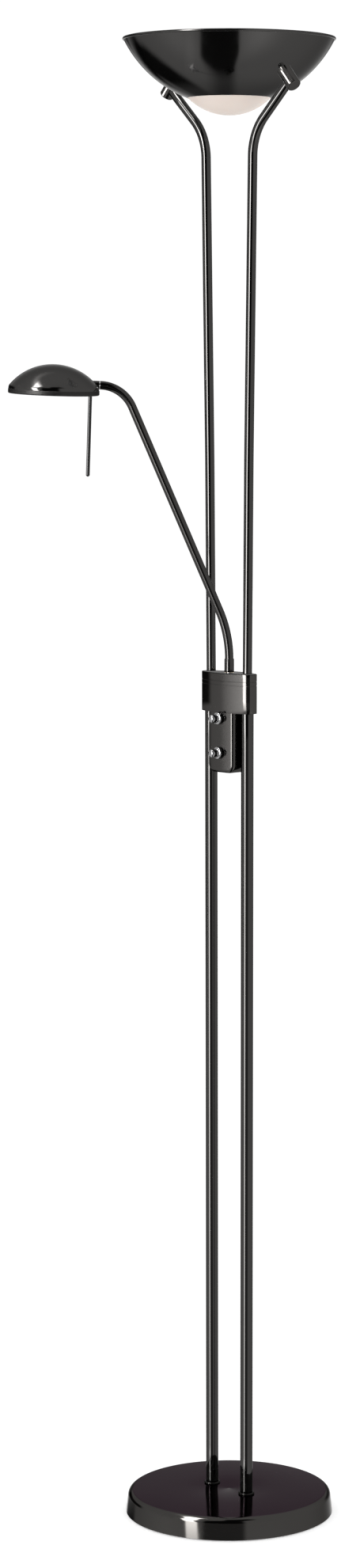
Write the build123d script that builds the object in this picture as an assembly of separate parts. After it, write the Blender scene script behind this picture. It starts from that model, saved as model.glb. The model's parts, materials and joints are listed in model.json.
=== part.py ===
from build123d import *
import math
import os

# Torchiere floor lamp with a reading light.
# Frame: origin at the centre of the underside of the base, +Z up,
# +X along the line of the two poles, -Y towards the side with the knobs.

# ------------------------------------------------------------ driving sizes (mm)
TOTAL_H = 1800.0          # floor to bowl rim

# base
BASE_R = 127.9            # bottom radius of the cover
BASE_R_TOP = 125.5        # radius where the side meets the rounded edge
BASE_EDGE_Z = 20.6
BASE_FLAT_R = 118.4       # where the rounded edge meets the flat top
BASE_H = 28.0
COVER_T = 1.2
PAD_T = 2.0

# poles
TUBE_R = 7.65             # lower tubes
TUBE_WALL = 1.2
FOOT_X = 31.4             # half spacing at the base
COLLAR_X = 32.6           # half spacing at the collar
ROD_R = 5.7               # upper rods
ROD_WALL = 1.2
ROD_BEND_R = 62.0

# collar and control box
COL_Z0 = 995.0            # underside of the collar
COL_Z1 = 1043.0           # top of the collar
COL_SPLIT = 1033.2        # joint between housing and cap
COL_END_R = 10.0          # round ends of the collar
COL_TURN_R = 30.0         # tighter run between the ends and the bulging faces
COL_HALF = 44.8           # half length
PANEL_HW = 22.85          # half width of the control box
PANEL_Z0 = 921.8
PANEL_BACK = 11.0
KNOB_Z = (988.0, 946.0)

# bowl
BOWL_R = 140.7            # outer sphere of the bowl
BOWL_C = 1860.5           # height of the sphere's centre
BOWL_T = 1.2
BOWL_OPEN_R = 50.0
KN_SIN, KN_COS = 0.677, 0.73599   # direction of the knuckles from the sphere's centre
KN_R = 8.5
KN_LEN = 27.0
KN_ROD_AT = 16.0          # where the rod enters, from the bowl's skin

# arm
VIEW_A = math.radians(47.77)
ARM_D = Vector(-math.cos(VIEW_A), -math.sin(VIEW_A), 0)   # plan direction of the arm
ARM_R = 5.2
ARM_RI = 4.05
ARM_Z0 = 1046.0
ARM_CORNER_1 = 1089.6     # height where the vertical and the slanted run meet
ARM_SLOPE = math.radians(23.115)
ARM_BEND_1 = 150.0
ARM_BEND_2 = 43.0
TIP_U, TIP_Z = 155.0, 1388.7
TIP_RISE = math.radians(2.0)
HEAD_LEAN = math.radians(2.0)

# reading head, in its own frame: x along the arm's tip, z up, origin at the tip
HEAD_CX = 55.6            # axis of the shade
HEAD_Z0 = -12.6           # plane of the rim
HEAD_R = 55.0
DOME_R = 68.5
DOME_H = 35.9
SHADE_T = 1.0
HANDLE_X = 11.7
HANDLE_R = 2.35
HANDLE_L = 97.5           # free length under the rim

parts = {}


# ------------------------------------------------------------ helpers
def cyl(r, z0, z1, x=0.0, y=0.0, ri=0.0):
    s = Pos(x, y, z0) * Cylinder(r, z1 - z0, align=(Align.CENTER, Align.CENTER, Align.MIN))
    if ri > 0:
        s -= Pos(x, y, z0 - 1) * Cylinder(ri, z1 - z0 + 2, align=(Align.CENTER, Align.CENTER, Align.MIN))
    return s


def box(x0, x1, y0, y1, z0, z1):
    return Pos((x0 + x1) / 2, (y0 + y1) / 2, (z0 + z1) / 2) * Box(x1 - x0, y1 - y0, z1 - z0)


def rod_between(p, q, r):
    p, q = Vector(*p), Vector(*q)
    d = q - p
    return Plane(origin=p, z_dir=d).location * Cylinder(r, d.length, align=(Align.CENTER, Align.CENTER, Align.MIN))


def turned(path):
    """Solid of revolution about Z. path is a list of ('l', (r, z)) and
    ('a', (r, z) on the arc, (r, z) end), starting with a plain point."""
    edges = []
    p = path[0]
    for seg in path[1:]:
        if seg[0] == 'l':
            q = seg[1]
            if abs(q[0] - p[0]) + abs(q[1] - p[1]) > 1e-6:
                edges.append(Line((p[0], 0, p[1]), (q[0], 0, q[1])))
        else:
            m, q = seg[1], seg[2]
            edges.append(ThreePointArc((p[0], 0, p[1]), (m[0], 0, m[1]), (q[0], 0, q[1])))
        p = q
    q = path[0]
    if abs(q[0] - p[0]) + abs(q[1] - p[1]) > 1e-6:
        edges.append(Line((p[0], 0, p[1]), (q[0], 0, q[1])))
    return revolve(Face(Wire(edges)), axis=Axis.Z)


def sphere_point(R, zc, r, low=True):
    h = math.sqrt(R * R - r * r)
    return (r, zc - h if low else zc + h)


def hexagon(af, z0, z1, x=0.0, y=0.0):
    return Pos(x, y, z0) * extrude(RegularPolygon(af / math.sqrt(3), 6), z1 - z0)


def sweep_circle(wire, r, ri=0.0):
    start = wire @ 0
    tan = wire % 0
    pl = Plane(origin=start, z_dir=tan)
    s = sweep(pl * Circle(r), path=wire)
    if ri > 0:
        s -= sweep(pl * Circle(ri), path=wire)
    return s


def rod_bore(sx, z0, z1, r):
    (xa, za), (xb, zb) = (32.3, 1013.2), (35.0, 1300.0)
    m = (xb - xa) / (zb - za)
    return rod_between((sx * (xa + (z0 - za) * m), 0, z0), (sx * (xa + (z1 - za) * m), 0, z1), r)


def biggest(shape):
    return sorted(shape.solids(), key=lambda q: q.volume)[-1]


def one(shape):
    s = shape.solids()
    return s[0] if len(s) == 1 else Compound(children=list(s))


# ------------------------------------------------------------ base
cover = turned([
    (BASE_R, 1.0), ('l', (BASE_R_TOP, BASE_EDGE_Z)),
    ('a', (123.0, 26.1), (BASE_FLAT_R, BASE_H)),
    ('l', (0.0, BASE_H)), ('l', (0.0, BASE_H - COVER_T)),
    ('l', (BASE_FLAT_R - 0.2, BASE_H - COVER_T)),
    ('a', (122.1, 25.15), (BASE_R_TOP - COVER_T, BASE_EDGE_Z - 0.2)),
    ('l', (BASE_R - COVER_T, 1.0))])
for sx in (-1, 1):
    cover -= cyl(TUBE_R + 0.12, BASE_H - 4, BASE_H + 4, sx * FOOT_X)
GROM_Z = 9.0
cover -= rod_between((0, 110, GROM_Z), (0, 140, GROM_Z), 5.2)
parts['base_cover'] = cover

weight = turned([
    (0.0, PAD_T), ('l', (123.2, PAD_T)), ('l', (122.0, 15.5)), ('l', (117.5, 20.2)), ('l', (0.0, 20.2))])
for sx in (-1, 1):
    weight += cyl(20.0, 18.0, BASE_H - COVER_T - 0.05, sx * FOOT_X)
    weight -= cyl(15.5, PAD_T - 1, 19.6, sx * FOOT_X)
    weight -= cyl(5.2, 10.0, 40.0, sx * FOOT_X)
# channel on the underside from the rear inlet to the left pole
weight -= box(-5.0, 5.0, 50.0, 126.0, PAD_T - 1, 13.4)
weight -= Pos(-FOOT_X / 2, 24.5, 0) * Rot(0, 0, -math.degrees(math.atan2(FOOT_X, 49.0))) * box(-5.0, 5.0, -45.0, 38.0, PAD_T - 1, 13.4)
weight -= box(-8.6, 8.6, 118.0, 130.0, PAD_T - 1, 30.0)
weight -= cyl(6.5, PAD_T - 1, 13.4, 0.0, 49.0)
parts['base_weight'] = one(weight)

parts['base_pad'] = cyl(121.0, 0.0, PAD_T - 0.02)

grommet = turned([
    (3.2, -5.0), ('l', (6.8, -5.0)), ('l', (6.8, -3.1)), ('l', (5.1, -3.1)), ('l', (5.1, -0.4)),
    ('l', (7.0, -0.4)), ('a', (6.7, 1.1), (5.6, 2.0)), ('l', (3.2, 2.0))])
GROM_Y = 126.9
grommet = Plane(origin=(0, GROM_Y, GROM_Z), z_dir=(0, 1, 0)).location * grommet
parts['cord_grommet'] = biggest(grommet - cover)

ring = turned([
    (TUBE_R + 0.05, BASE_H + 0.02), ('l', (9.9, BASE_H + 0.02)), ('l', (9.9, BASE_H + 1.3)),
    ('a', (9.6, BASE_H + 2.0), (8.9, BASE_H + 2.3)), ('l', (TUBE_R + 0.05, BASE_H + 2.3))])
parts['pole_foot_rings'] = Compound(children=[Pos(sx * FOOT_X, 0, 0) * one(ring) for sx in (-1, 1)])

nip = []
for sx in (-1, 1):
    nip.append(one(cyl(4.95, 13.6, 44.0, sx * FOOT_X, ri=3.4)))
    nip.append(one(hexagon(17.0, 14.4, 19.55, sx * FOOT_X) - cyl(5.0, 13, 21, sx * FOOT_X)))
parts['pole_foot_nipples'] = Compound(children=nip)
parts['tube_end_bushes'] = Compound(children=[
    one(cyl(TUBE_R - TUBE_WALL - 0.03, BASE_H - COVER_T + 0.1, 42.0, sx * FOOT_X, ri=5.0)) for sx in (-1, 1)])

# ------------------------------------------------------------ lower tubes
TZ0, TZ1 = BASE_H - COVER_T + 0.02, 1004.0
for name, sx in (('lower_tube_left', -1), ('lower_tube_right', 1)):
    p = Vector(sx * FOOT_X, 0, TZ0)
    q = Vector(sx * COLLAR_X, 0, TZ1)
    t = rod_between(p, q, TUBE_R) - rod_between(p - (q - p) * 0.01, q + (q - p) * 0.01, TUBE_R - TUBE_WALL)
    parts[name] = one(t)

# ------------------------------------------------------------ collar and control box
# plan outline: two round ends, each running through a wider arc into the bulging faces
def facing(deg):
    return Vector(math.sin(math.radians(deg)), -math.cos(math.radians(deg)), 0)


END_C = Vector(COL_HALF - COL_END_R, 0, 0)
TURN_C = END_C + facing(30) * (COL_END_R - COL_TURN_R)
turn_p = TURN_C + facing(20) * COL_TURN_R
FACE_R = turn_p.X / math.sin(math.radians(20))
FACE_C = turn_p - facing(20) * FACE_R
COL_FRONT = FACE_R - FACE_C.Y              # half thickness in the middle
print('collar half thickness', round(COL_FRONT, 3), 'face radius', round(FACE_R, 2))


def outline(off=0.0):
    def at(c, r, deg, sx, sy):
        v = c + facing(deg) * (r + off)
        return (sx * v.X, sy * v.Y)
    edges = []
    for sx, sy in ((1, 1), (1, -1), (-1, 1), (-1, -1)):
        edges.append(ThreePointArc(at(FACE_C, FACE_R, 0, sx, sy), at(FACE_C, FACE_R, 10, sx, sy), at(FACE_C, FACE_R, 20, sx, sy)))
        edges.append(ThreePointArc(at(FACE_C, FACE_R, 20, sx, sy), at(TURN_C, COL_TURN_R, 25, sx, sy), at(TURN_C, COL_TURN_R, 30, sx, sy)))
        edges.append(ThreePointArc(at(END_C, COL_END_R, 30, sx, sy), at(END_C, COL_END_R, 60, sx, sy), at(END_C, COL_END_R, 90, sx, sy)))
    return Face(Wire(edges))


collar = Pos(0, 0, COL_Z0) * extrude(outline(), COL_SPLIT - COL_Z0)
panel = Pos(0, 0, PANEL_Z0) * extrude(outline(), COL_Z0 + 3 - PANEL_Z0)
front_shape = Plane.XZ * (Pos(0, (PANEL_Z0 + COL_Z0 + 3) / 2) * RectangleRounded(2 * PANEL_HW, COL_Z0 + 3 - PANEL_Z0, 10.0))
keep = extrude(front_shape, 40, both=True)
keep += box(-PANEL_HW, PANEL_HW, -40, 40, COL_Z0 - 20, COL_Z0 + 3)
panel = panel & keep & box(-60, 60, -40, PANEL_BACK, PANEL_Z0 - 5, COL_Z0 + 3)
long_edges = panel.edges().filter_by(Axis.Z).filter_by(lambda e: e.length > 40 and e.center().Y < -10)
panel = fillet(long_edges, 5.0)
housing = collar + panel
# control cavity, open to the rear below the collar
housing -= box(-19.8, 19.8, -11.6, 9.0, 925.6, 1021.0)
recess = box(-21.3, 21.3, 8.9, 20.0, 924.2, 993.8)
recess = fillet(recess.edges().filter_by(Axis.Y).group_by(Axis.Z)[0], 8.45)
housing -= recess
for sx in (-1, 1):
    for z in (929.6, 989.6):
        housing += rod_between((sx * 16.3, -12.5, z), (sx * 16.3, 8.98, z), 3.4) & box(-21, 21, -12.5, 9, 925, 994)
        housing -= rod_between((sx * 16.3, -4.0, z), (sx * 16.3, 12.0, z), 1.35)
    # tube sockets from below, rod sockets from above, lead passage between them
    housing -= cyl(TUBE_R + 0.06, COL_Z0 - 5, 1004.02, sx * COLLAR_X)
    housing -= rod_bore(sx, 1013.1, 1060.0, ROD_R + 0.05)
    housing -= cyl(4.2, 1000.0, 1020.0, sx * 32.45)
    housing -= box(*sorted((sx * 19.0, sx * 32.4)), -3.4, 3.4, 1004.6, 1012.2)
    # grub screws that lock the tubes, from the rear
    for z in (999.5, 1023.0):
        housing -= rod_between((sx * 32.5, 4.0, z), (sx * 32.5, 20.0, z), 2.0)
for z in KNOB_Z:
    housing -= rod_between((0, -9, z), (0, -24, z), 3.75)
housing -= cyl(6.0, 1015.0, 1040.0)
# fine groove around the collar
housing -= (Pos(0, 0, 1028.4) * extrude(outline(2.0), 0.55)) - (Pos(0, 0, 1028.0) * extrude(outline(-0.45), 2.0))
parts['control_housing'] = one(housing)

cap = Pos(0, 0, COL_SPLIT + 0.02) * extrude(outline(), COL_Z1 - COL_SPLIT - 0.02)
cap = fillet(cap.edges().filter_by(lambda e: e.center().Z > COL_Z1 - 0.01), 0.9)
cap -= (Pos(0, 0, COL_SPLIT - 0.2) * extrude(outline(2.0), 0.75)) - (Pos(0, 0, COL_SPLIT - 1.0) * extrude(outline(-0.45), 3.0))
cap -= cyl(6.0, 1030.0, 1050.0)
for sx in (-1, 1):
    cap -= rod_bore(sx, 1020.0, 1060.0, ROD_R + 0.08)
parts['collar_cap'] = one(cap)

back = box(-21.2, 21.2, 9.02, 11.0, 924.3, 993.7)
back = fillet(back.edges().filter_by(Axis.Y).group_by(Axis.Z)[0], 8.35)
back = fillet(back.edges().filter_by(Axis.Y).filter_by(lambda e: e.center().Z > 990 and abs(e.center().X) > 20), 1.5)
for sx in (-1, 1):
    for z in (929.6, 989.6):
        back -= rod_between((sx * 16.3, 5.0, z), (sx * 16.3, 15.0, z), 1.7)
for i in range(4):
    back -= box(-9.0, 9.0, 5.0, 15.0, 952.0 + i * 5.2, 953.6 + i * 5.2)
parts['housing_back_cover'] = one(back)

screws = []
for sx in (-1, 1):
    for z in (929.6, 989.6):
        s = turned([(0, 1.9), ('l', (0, -12.6)), ('l', (0.9, -12.6)), ('l', (1.3, -12.0)), ('l', (1.3, 0.02)),
                    ('l', (2.7, 0.02)), ('a', (2.4, 1.2), (1.2, 1.9))])
        s -= Pos(0, 0, 1.5) * Box(3.4, 0.7, 1.6)
        s -= Pos(0, 0, 1.5) * Box(0.7, 3.4, 1.6)
        screws.append(one(Plane(origin=(sx * 16.3, 11.0, z), x_dir=(1, 0, 0), z_dir=(0, 1, 0)).location * s))
parts['back_cover_screws'] = Compound(children=screws)

grubs = []
for sx in (-1, 1):
    for z, r in ((999.5, TUBE_R), (1023.0, ROD_R)):
        y1 = 11.2
        s = rod_between((sx * 32.5, r + 0.08, z), (sx * 32.5, y1, z), 1.95)
        s -= Plane(origin=(sx * 32.5, y1 - 1.8, z), x_dir=(1, 0, 0), z_dir=(0, 1, 0)).location * extrude(RegularPolygon(1.1, 6), 3)
        grubs.append(one(s))
parts['tube_grub_screws'] = Compound(children=grubs)

# two rotary dimmers: body behind the panel, threaded bush through it, nut in front
dim, nuts = [], []
for z in KNOB_Z:
    b = rod_between((0, -11.55, z), (0, -2.2, z), 8.2) + rod_between((0, -11.0, z), (0, -COL_FRONT - 2.6, z), 3.6)
    b += box(-6.5, 6.5, -6.0, -3.0, z - 13.0, z)
    b += box(-6.5, -4.9, -4.2, 1.9, z - 12.6, z - 11.0) + box(-0.8, 0.8, -4.2, 1.9, z - 12.6, z - 11.0) + box(4.9, 6.5, -4.2, 1.9, z - 12.6, z - 11.0)
    b -= rod_between((0, -7.4, z), (0, -24.0, z), 3.07)
    dim.append(one(b))
    n = hexagon(10.4, COL_FRONT + 0.06, COL_FRONT + 2.3) - cyl(3.65, 10, 24)
    nuts.append(one(Plane(origin=(0, 0, z), x_dir=(1, 0, 0), z_dir=(0, -1, 0)).location * n))
parts['dimmer_bodies'] = Compound(children=dim)
parts['dimmer_nuts'] = Compound(children=nuts)

knob = turned([
    (0.0, 2.9), ('l', (6.4, 2.9)), ('l', (6.4, 0.35)), ('l', (7.1, 0.35)), ('l', (7.35, 0.6)), ('l', (7.35, 2.7)),
    ('a', (7.04, 3.6), (6.3, 4.0)), ('a', (4.95, 4.9), (4.45, 6.4)), ('l', (5.0, 7.6)), ('l', (5.0, 11.2)),
    ('a', (4.15, 13.1), (2.4, 14.1)), ('l', (0.0, 14.3))])
flat_side = box(-5, 5, 2.2, 5, 5.0, 20)
for name, sname, z in (('upper_knob', 'upper_dimmer_shaft', KNOB_Z[0]), ('lower_knob', 'lower_dimmer_shaft', KNOB_Z[1])):
    pl = Plane(origin=(0, -COL_FRONT, z), x_dir=(1, 0, 0), z_dir=(0, -1, 0)).location
    kn = knob - (cyl(3.02, 2.0, 11.8) - box(-5, 5, 2.22, 5, 5.1, 20))
    sh = cyl(3.0, -9.3, 11.7) - flat_side
    parts[name] = one(pl * kn)
    parts[sname] = one(pl * sh)

board = box(-12.5, 12.5, 2.0, 3.6, 934.0, 1003.0)
board += rod_between((4.5, 3.6, 968.0), (4.5, 8.6, 968.0), 6.0) - rod_between((4.5, 3.7, 968.0), (4.5, 9.0, 968.0), 2.6)
board += box(-10.5, -3.5, 3.5, 8.4, 955.0, 961.0) + box(-10.0, -5.0, 3.5, 5.6, 964.0, 973.5)
board += box(-3.0, 11.0, 3.5, 8.0, 940.0, 949.5) + box(-9.0, 8.0, 3.5, 6.0, 978.0, 985.0)
parts['circuit_board'] = one(board)

term = box(-12.0, 12.0, -10.0, -1.0, 997.5, 1007.0)
for i in range(4):
    x = -9.0 + 6.0 * i
    term -= rod_between((x, -5.5, 1001.0), (x, -5.5, 1010.0), 1.6)
    term -= rod_between((x, -14.0, 1001.0), (x, -6.0, 1001.0), 1.3)
parts['terminal_block'] = one(term)

# ------------------------------------------------------------ upper rods, bent outwards to the bowl
n_r = Vector(KN_SIN, 0, -KN_COS)
d_r = Vector(KN_COS, 0, KN_SIN)                # direction of the rod's last run
contact = Vector(0, 0, BOWL_C) + n_r * BOWL_R
rod_target = contact + n_r * KN_ROD_AT


ROD_LOW = (32.3, 1013.2)      # half spacing where the rods start in the collar
ROD_MID = (35.0, 1300.0)      # the rods spread a little more above this height
ROD_TOP = (41.33, 1662.0)
ROD_WIDE_R = 5000.0

v_low, v_mid, v_top = (Vector(x, 0, z) for x, z in (ROD_LOW, ROD_MID, ROD_TOP))
lean = (v_top - v_mid).normalized()
# meeting point of the upper straight run and the last run
det = lean.X * (-d_r.Z) + d_r.X * lean.Z
rx, rz = rod_target.X - v_top.X, rod_target.Z - v_top.Z
corner = v_top + lean * ((rx * (-d_r.Z) + d_r.X * rz) / det)
rod_end = rod_target - d_r * 2.9


def mirror_x(v, sx):
    return (sx * v.X, 0, v.Z)


for name, sx in (('upper_rod_left', -1), ('upper_rod_right', 1)):
    line = FilletPolyline(*[mirror_x(v, sx) for v in (v_low, v_mid, corner, rod_end)], radius=[ROD_WIDE_R, ROD_BEND_R])
    parts[name] = one(sweep_circle(Wire(line.edges()), ROD_R, ROD_R - ROD_WALL))
print('rod bend corner', [round(v, 1) for v in corner])

# ------------------------------------------------------------ knuckles under the bowl
kn_solid, nip2, nuts2 = {}, [], []
for name, sx in (('knuckle_left', -1), ('knuckle_right', 1)):
    n = Vector(sx * KN_SIN, 0, -KN_COS)
    c = Vector(0, 0, BOWL_C) + n * BOWL_R
    loc = Plane(origin=c, x_dir=(0, 1, 0), z_dir=n).location
    kb = turned([(0, -2.0), ('l', (KN_R - 0.6, -2.0)), ('l', (KN_R, -1.4)), ('l', (KN_R, KN_LEN - 1.2)),
                 ('a', (KN_R - 0.35, KN_LEN - 0.35), (KN_R - 1.2, KN_LEN)), ('l', (0, KN_LEN))])
    kb -= cyl(4.02, -5.0, 10.6)
    kb -= cyl(3.2, 8.0, KN_ROD_AT + 3.2)
    kb = loc * kb
    kb -= Pos(0, 0, BOWL_C) * Sphere(BOWL_R + 0.04)
    dd = Vector(sx * KN_COS, 0, KN_SIN)
    tgt = c + n * KN_ROD_AT
    kb -= rod_between(tgt - dd * 20, tgt - dd * 2.8, ROD_R + 0.03)
    kb -= rod_between(tgt - dd * 5, tgt, 3.2)
    parts[name] = one(kb)
    nip2.append(one(loc * cyl(3.98, -9.6, 10.2, ri=2.75)))
    nuts2.append(one(loc * (hexagon(13.0, -8.4, -4.42) - cyl(4.02, -12, 0))))
    w = cyl(7.2, -2.78, -1.0, ri=4.1)
    w = (loc * w) & (Pos(0, 0, BOWL_C) * Sphere(BOWL_R - BOWL_T - 0.03))
    nuts2.append(one(w))
parts['knuckle_nipples'] = Compound(children=nip2)
parts['knuckle_nuts'] = Compound(children=nuts2)

# ------------------------------------------------------------ bowl
Ri = BOWL_R - BOWL_T
op = sphere_point(BOWL_R, BOWL_C, BOWL_OPEN_R)
oi = sphere_point(Ri, BOWL_C, BOWL_OPEN_R)
BEAD = 1.6
Rm = BOWL_R - BOWL_T / 2
bz = TOTAL_H - BEAD
br = math.sqrt(Rm ** 2 - (BOWL_C - bz) ** 2)
nx, nz = br / Rm, (bz - BOWL_C) / Rm          # outward normal at the bead
ux_, uz_ = -nz, nx                            # along the skin, upwards
tb = math.sqrt(BEAD ** 2 - (BOWL_T / 2) ** 2)
ro = (br + nx * BOWL_T / 2 - ux_ * tb, bz + nz * BOWL_T / 2 - uz_ * tb)
ri_ = (br - nx * BOWL_T / 2 - ux_ * tb, bz - nz * BOWL_T / 2 - uz_ * tb)
top_ = (br + ux_ * BEAD, bz + uz_ * BEAD)
mo = sphere_point(BOWL_R, BOWL_C, 95.0)
mi = sphere_point(Ri, BOWL_C, 94.0)
bowl = turned([op, ('a', mo, ro), ('a', top_, ri_), ('a', mi, oi), ('a', (49.7, (op[1] + oi[1]) / 2), op)])
for sx in (-1, 1):
    n = Vector(sx * KN_SIN, 0, -KN_COS)
    c = Vector(0, 0, BOWL_C) + n * BOWL_R
    bowl -= rod_between(c - n * 6, c + n * 6, 4.1)
parts['bowl_shell'] = one(bowl)

GL_R, GL_BOT = 69.3, 1708.5
gc = GL_BOT + GL_R
g_t = 2.6


def gz(r, R):
    return gc - math.sqrt(R * R - r * r)


glass = turned([
    (0, GL_BOT), ('a', (28.0, gz(28.0, GL_R)), (49.55, gz(49.55, GL_R))), ('l', (49.55, 1732.0)), ('l', (53.2, 1732.2)),
    ('l', (53.2, 1734.2)), ('l', (46.6, 1734.2)), ('l', (46.6, gz(46.6, GL_R - g_t))), ('a', (25.0, gz(25.0, GL_R - g_t)), (0, GL_BOT + g_t))])
parts['glass_dome'] = one(glass)

parts['glass_retainer'] = one(cyl(58.4, 1734.3, 1735.5, ri=46.5))

# bridge strap from knuckle to knuckle, carries the lamp
BR_W = 8.0
c_in = Vector(0, 0, BOWL_C) + n_r * (BOWL_R - 2.8)
t_in = d_r


def on_tab(s, off):
    v = c_in + t_in * s - n_r * off
    return (v.X, v.Z)


BZ0, BZ1 = 1752.3, 1753.8


def tab_at(z, off):
    s = (z - (c_in.Z + n_r.Z * -off)) / t_in.Z
    return on_tab(s, off)


right = [tab_at(BZ0, 0.0), on_tab(8.5, 0.0), on_tab(8.5, 1.5), tab_at(BZ1, 1.5)]
pts = [(x, z) for x, z in right] + [(-x, z) for x, z in reversed(right)]
bridge = extrude(Plane.XZ * make_face(Polyline(*pts, close=True)), BR_W, both=True)
for sx in (-1, 1):
    n = Vector(sx * KN_SIN, 0, -KN_COS)
    c = Vector(0, 0, BOWL_C) + n * BOWL_R
    bridge -= rod_between(c - n * 12, c + n * 2, 4.1)
    bridge -= cyl(1.7, 1750, 1756, sx * 53.0)
parts['lamp_bridge'] = one(bridge)

posts = []
for sx in (-1, 1):
    posts.append(one(cyl(3.2, 1735.55, BZ0 - 0.03, sx * 53.0, ri=1.6)))
    s = cyl(1.5, 1737.0, BZ1 + 0.03, sx * 53.0) + cyl(2.9, BZ1 + 0.03, BZ1 + 2.0, sx * 53.0)
    s -= box(sx * 53.0 - 4, sx * 53.0 + 4, -0.4, 0.4, BZ1 + 1.2, BZ1 + 3)
    posts.append(one(s))
parts['retainer_posts'] = Compound(children=posts)

# double-ended linear lamp in two ceramic holders
LAMP_Z = 1772.0
for name, sx in (('lamp_holder_left', -1), ('lamp_holder_right', 1)):
    x0, x1 = sorted((sx * 57.6, sx * 70.0))
    h = box(x0, x1, -8.0, 8.0, BZ1 + 0.03, 1779.0)
    h = fillet(h.edges().filter_by(Axis.Z), 1.5)
    h -= rod_between((sx * 50, 0, LAMP_Z), (sx * 61.2, 0, LAMP_Z), 4.3)
    h -= cyl(3.1, BZ1 - 1, BZ1 + 8, sx * 53.0)
    parts[name] = one(h)
tube = rod_between((-49, 0, LAMP_Z), (49, 0, LAMP_Z), 5.4) - rod_between((-47, 0, LAMP_Z), (47, 0, LAMP_Z), 4.3)
tube = fillet(tube.edges().filter_by(lambda e: abs(abs(e.center().X) - 49) < 0.1 and e.radius > 5), 2.0)
parts['halogen_tube'] = one(tube)
parts['halogen_caps'] = Compound(children=[
    one(rod_between((sx * 49.05, 0, LAMP_Z), (sx * 61.0, 0, LAMP_Z), 4.0)) for sx in (-1, 1)])

sg = box(-66.0, 66.0, -27.0, 27.0, 1785.0, 1787.5)
sg = fillet(sg.edges().filter_by(Axis.Z), 3.0)
parts['safety_glass'] = one(sg)
clips = []
for sx in (-1, 1):
    a, b = sorted((sx * 60.0, sx * 67.6))
    c_ = box(a, b, -6, 6, 1779.05, 1779.9)
    a2, b2 = sorted((sx * 66.7, sx * 67.6))
    c_ += box(a2, b2, -6, 6, 1779.05, 1788.7)
    a3, b3 = sorted((sx * 61.5, sx * 67.6))
    c_ += box(a3, b3, -6, 6, 1787.7, 1788.7)
    a4, b4 = sorted((sx * 62.0, sx * 66.8))
    c_ += box(a4, b4, -6, 6, 1784.0, 1784.9)
    clips.append(one(c_))
parts['safety_glass_clips'] = Compound(children=clips)

# ------------------------------------------------------------ inner leads of the stand
LEAD = 2.4
sup_pts = [(0, 121.0, GROM_Z), (0, 49.0, GROM_Z), (-FOOT_X, 0, GROM_Z), (-COLLAR_X + 0.1, 0, 1008.4), (-14.0, 0, 1008.4)]
sup_rad = [75.0, 7.4, 5.4]
sup = FilletPolyline(*sup_pts, radius=sup_rad)
print('supply lead radii', sup_rad, 'length', round(sup.length, 1))
sup_w = Wire(sup.edges())
supply = sweep_circle(sup_w, LEAD)
print('supply lead volume', round(supply.volume, 1), 'section x length', round(math.pi * LEAD ** 2 * sup.length, 1))
parts['supply_lead'] = one(supply)

BL = 2.2
lead_top = contact - n_r * 22.0
slope_low = (v_mid.X - v_low.X) / (v_mid.Z - v_low.Z)
lead_low = Vector(v_low.X - (v_low.Z - 1008.4) * slope_low, 0, 1008.4)
bl_rad = [5.2, ROD_WIDE_R, ROD_BEND_R, 6.0, 8.0]
bl = FilletPolyline((14.0, 0, 1008.4), lead_low, v_mid, corner, rod_target, lead_top, (71.3, 0, 1767.0), radius=bl_rad)
bl_w = Wire(bl.edges())
bowl_lead = sweep_circle(bl_w, BL)
print('bowl lead radii', bl_rad, 'volume', round(bowl_lead.volume, 1), 'section x length', round(math.pi * BL ** 2 * bl_w.length, 1))
parts['bowl_lead'] = one(bowl_lead)

# ------------------------------------------------------------ swivel and arm
bush = turned([
    (4.06, 1019.5), ('l', (8.2, 1019.5)), ('l', (8.2, 1020.98)), ('l', (5.97, 1020.98)), ('l', (5.97, COL_Z1)), ('l', (4.06, COL_Z1))])
parts['arm_swivel_bush'] = one(bush)
parts['arm_spigot'] = one(cyl(4.0, 1010.0, 1061.0, ri=2.4))
parts['arm_swivel_nut'] = one(hexagon(11.0, 1013.4, 1019.35) - cyl(4.03, 1010, 1022))
ferrule = turned([
    (4.03, COL_Z1 + 0.25), ('l', (5.7, COL_Z1 + 0.25)), ('l', (5.95, COL_Z1 + 0.5)), ('l', (5.95, 1058.6)), ('a', (5.86, 1059.2), (5.5, 1059.5)),
    ('l', (ARM_R + 0.02, 1059.5)), ('l', (ARM_R + 0.02, ARM_Z0)), ('l', (4.03, ARM_Z0))])
parts['arm_ferrule'] = one(ferrule)

arm_plane = Plane(origin=(0, 0, 0), x_dir=ARM_D, z_dir=(ARM_D.Y, -ARM_D.X, 0))


def arm_pt(u, z):
    return Vector(ARM_D.X * u, ARM_D.Y * u, z)


def corner_arc(pa, pc, pb, R):
    v1, v2 = (pc - pa).normalized(), (pb - pc).normalized()
    th = math.acos(max(-1, min(1, v1.dot(v2))))
    t = R * math.tan(th / 2)
    s, e = pc - v1 * t, pc + v2 * t
    m = pc + (v2 - v1).normalized() * (R / math.cos(th / 2) - R)
    return s, m, e


sl = math.tan(ARM_SLOPE)
# corner between slanted run and the tip's run: u = (z - c1)*sl ; z = TIP_Z - (TIP_U - u)*tan(rise)
tr = math.tan(TIP_RISE)
zc = (TIP_Z - (TIP_U + ARM_CORNER_1 * sl) * tr) / (1 - sl * tr)
uc = (zc - ARM_CORNER_1) * sl
A0, A1, A2, A3 = arm_pt(0, ARM_Z0), arm_pt(0, ARM_CORNER_1), arm_pt(uc, zc), arm_pt(TIP_U, TIP_Z)
s1, m1, e1 = corner_arc(A0, A1, A2, ARM_BEND_1)
s2, m2, e2 = corner_arc(A1, A2, A3, ARM_BEND_2)
print('arm corner 2', round(uc, 1), round(zc, 1), 'arc', round(s1.Z, 1), round(e1.Z, 1), round(s2.Z, 1), round((e2 - A3).length, 2))
arm_w = Wire([Line(A0, s1), ThreePointArc(s1, m1, e1), Line(e1, s2), ThreePointArc(s2, m2, e2), Line(e2, A3)])
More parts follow.
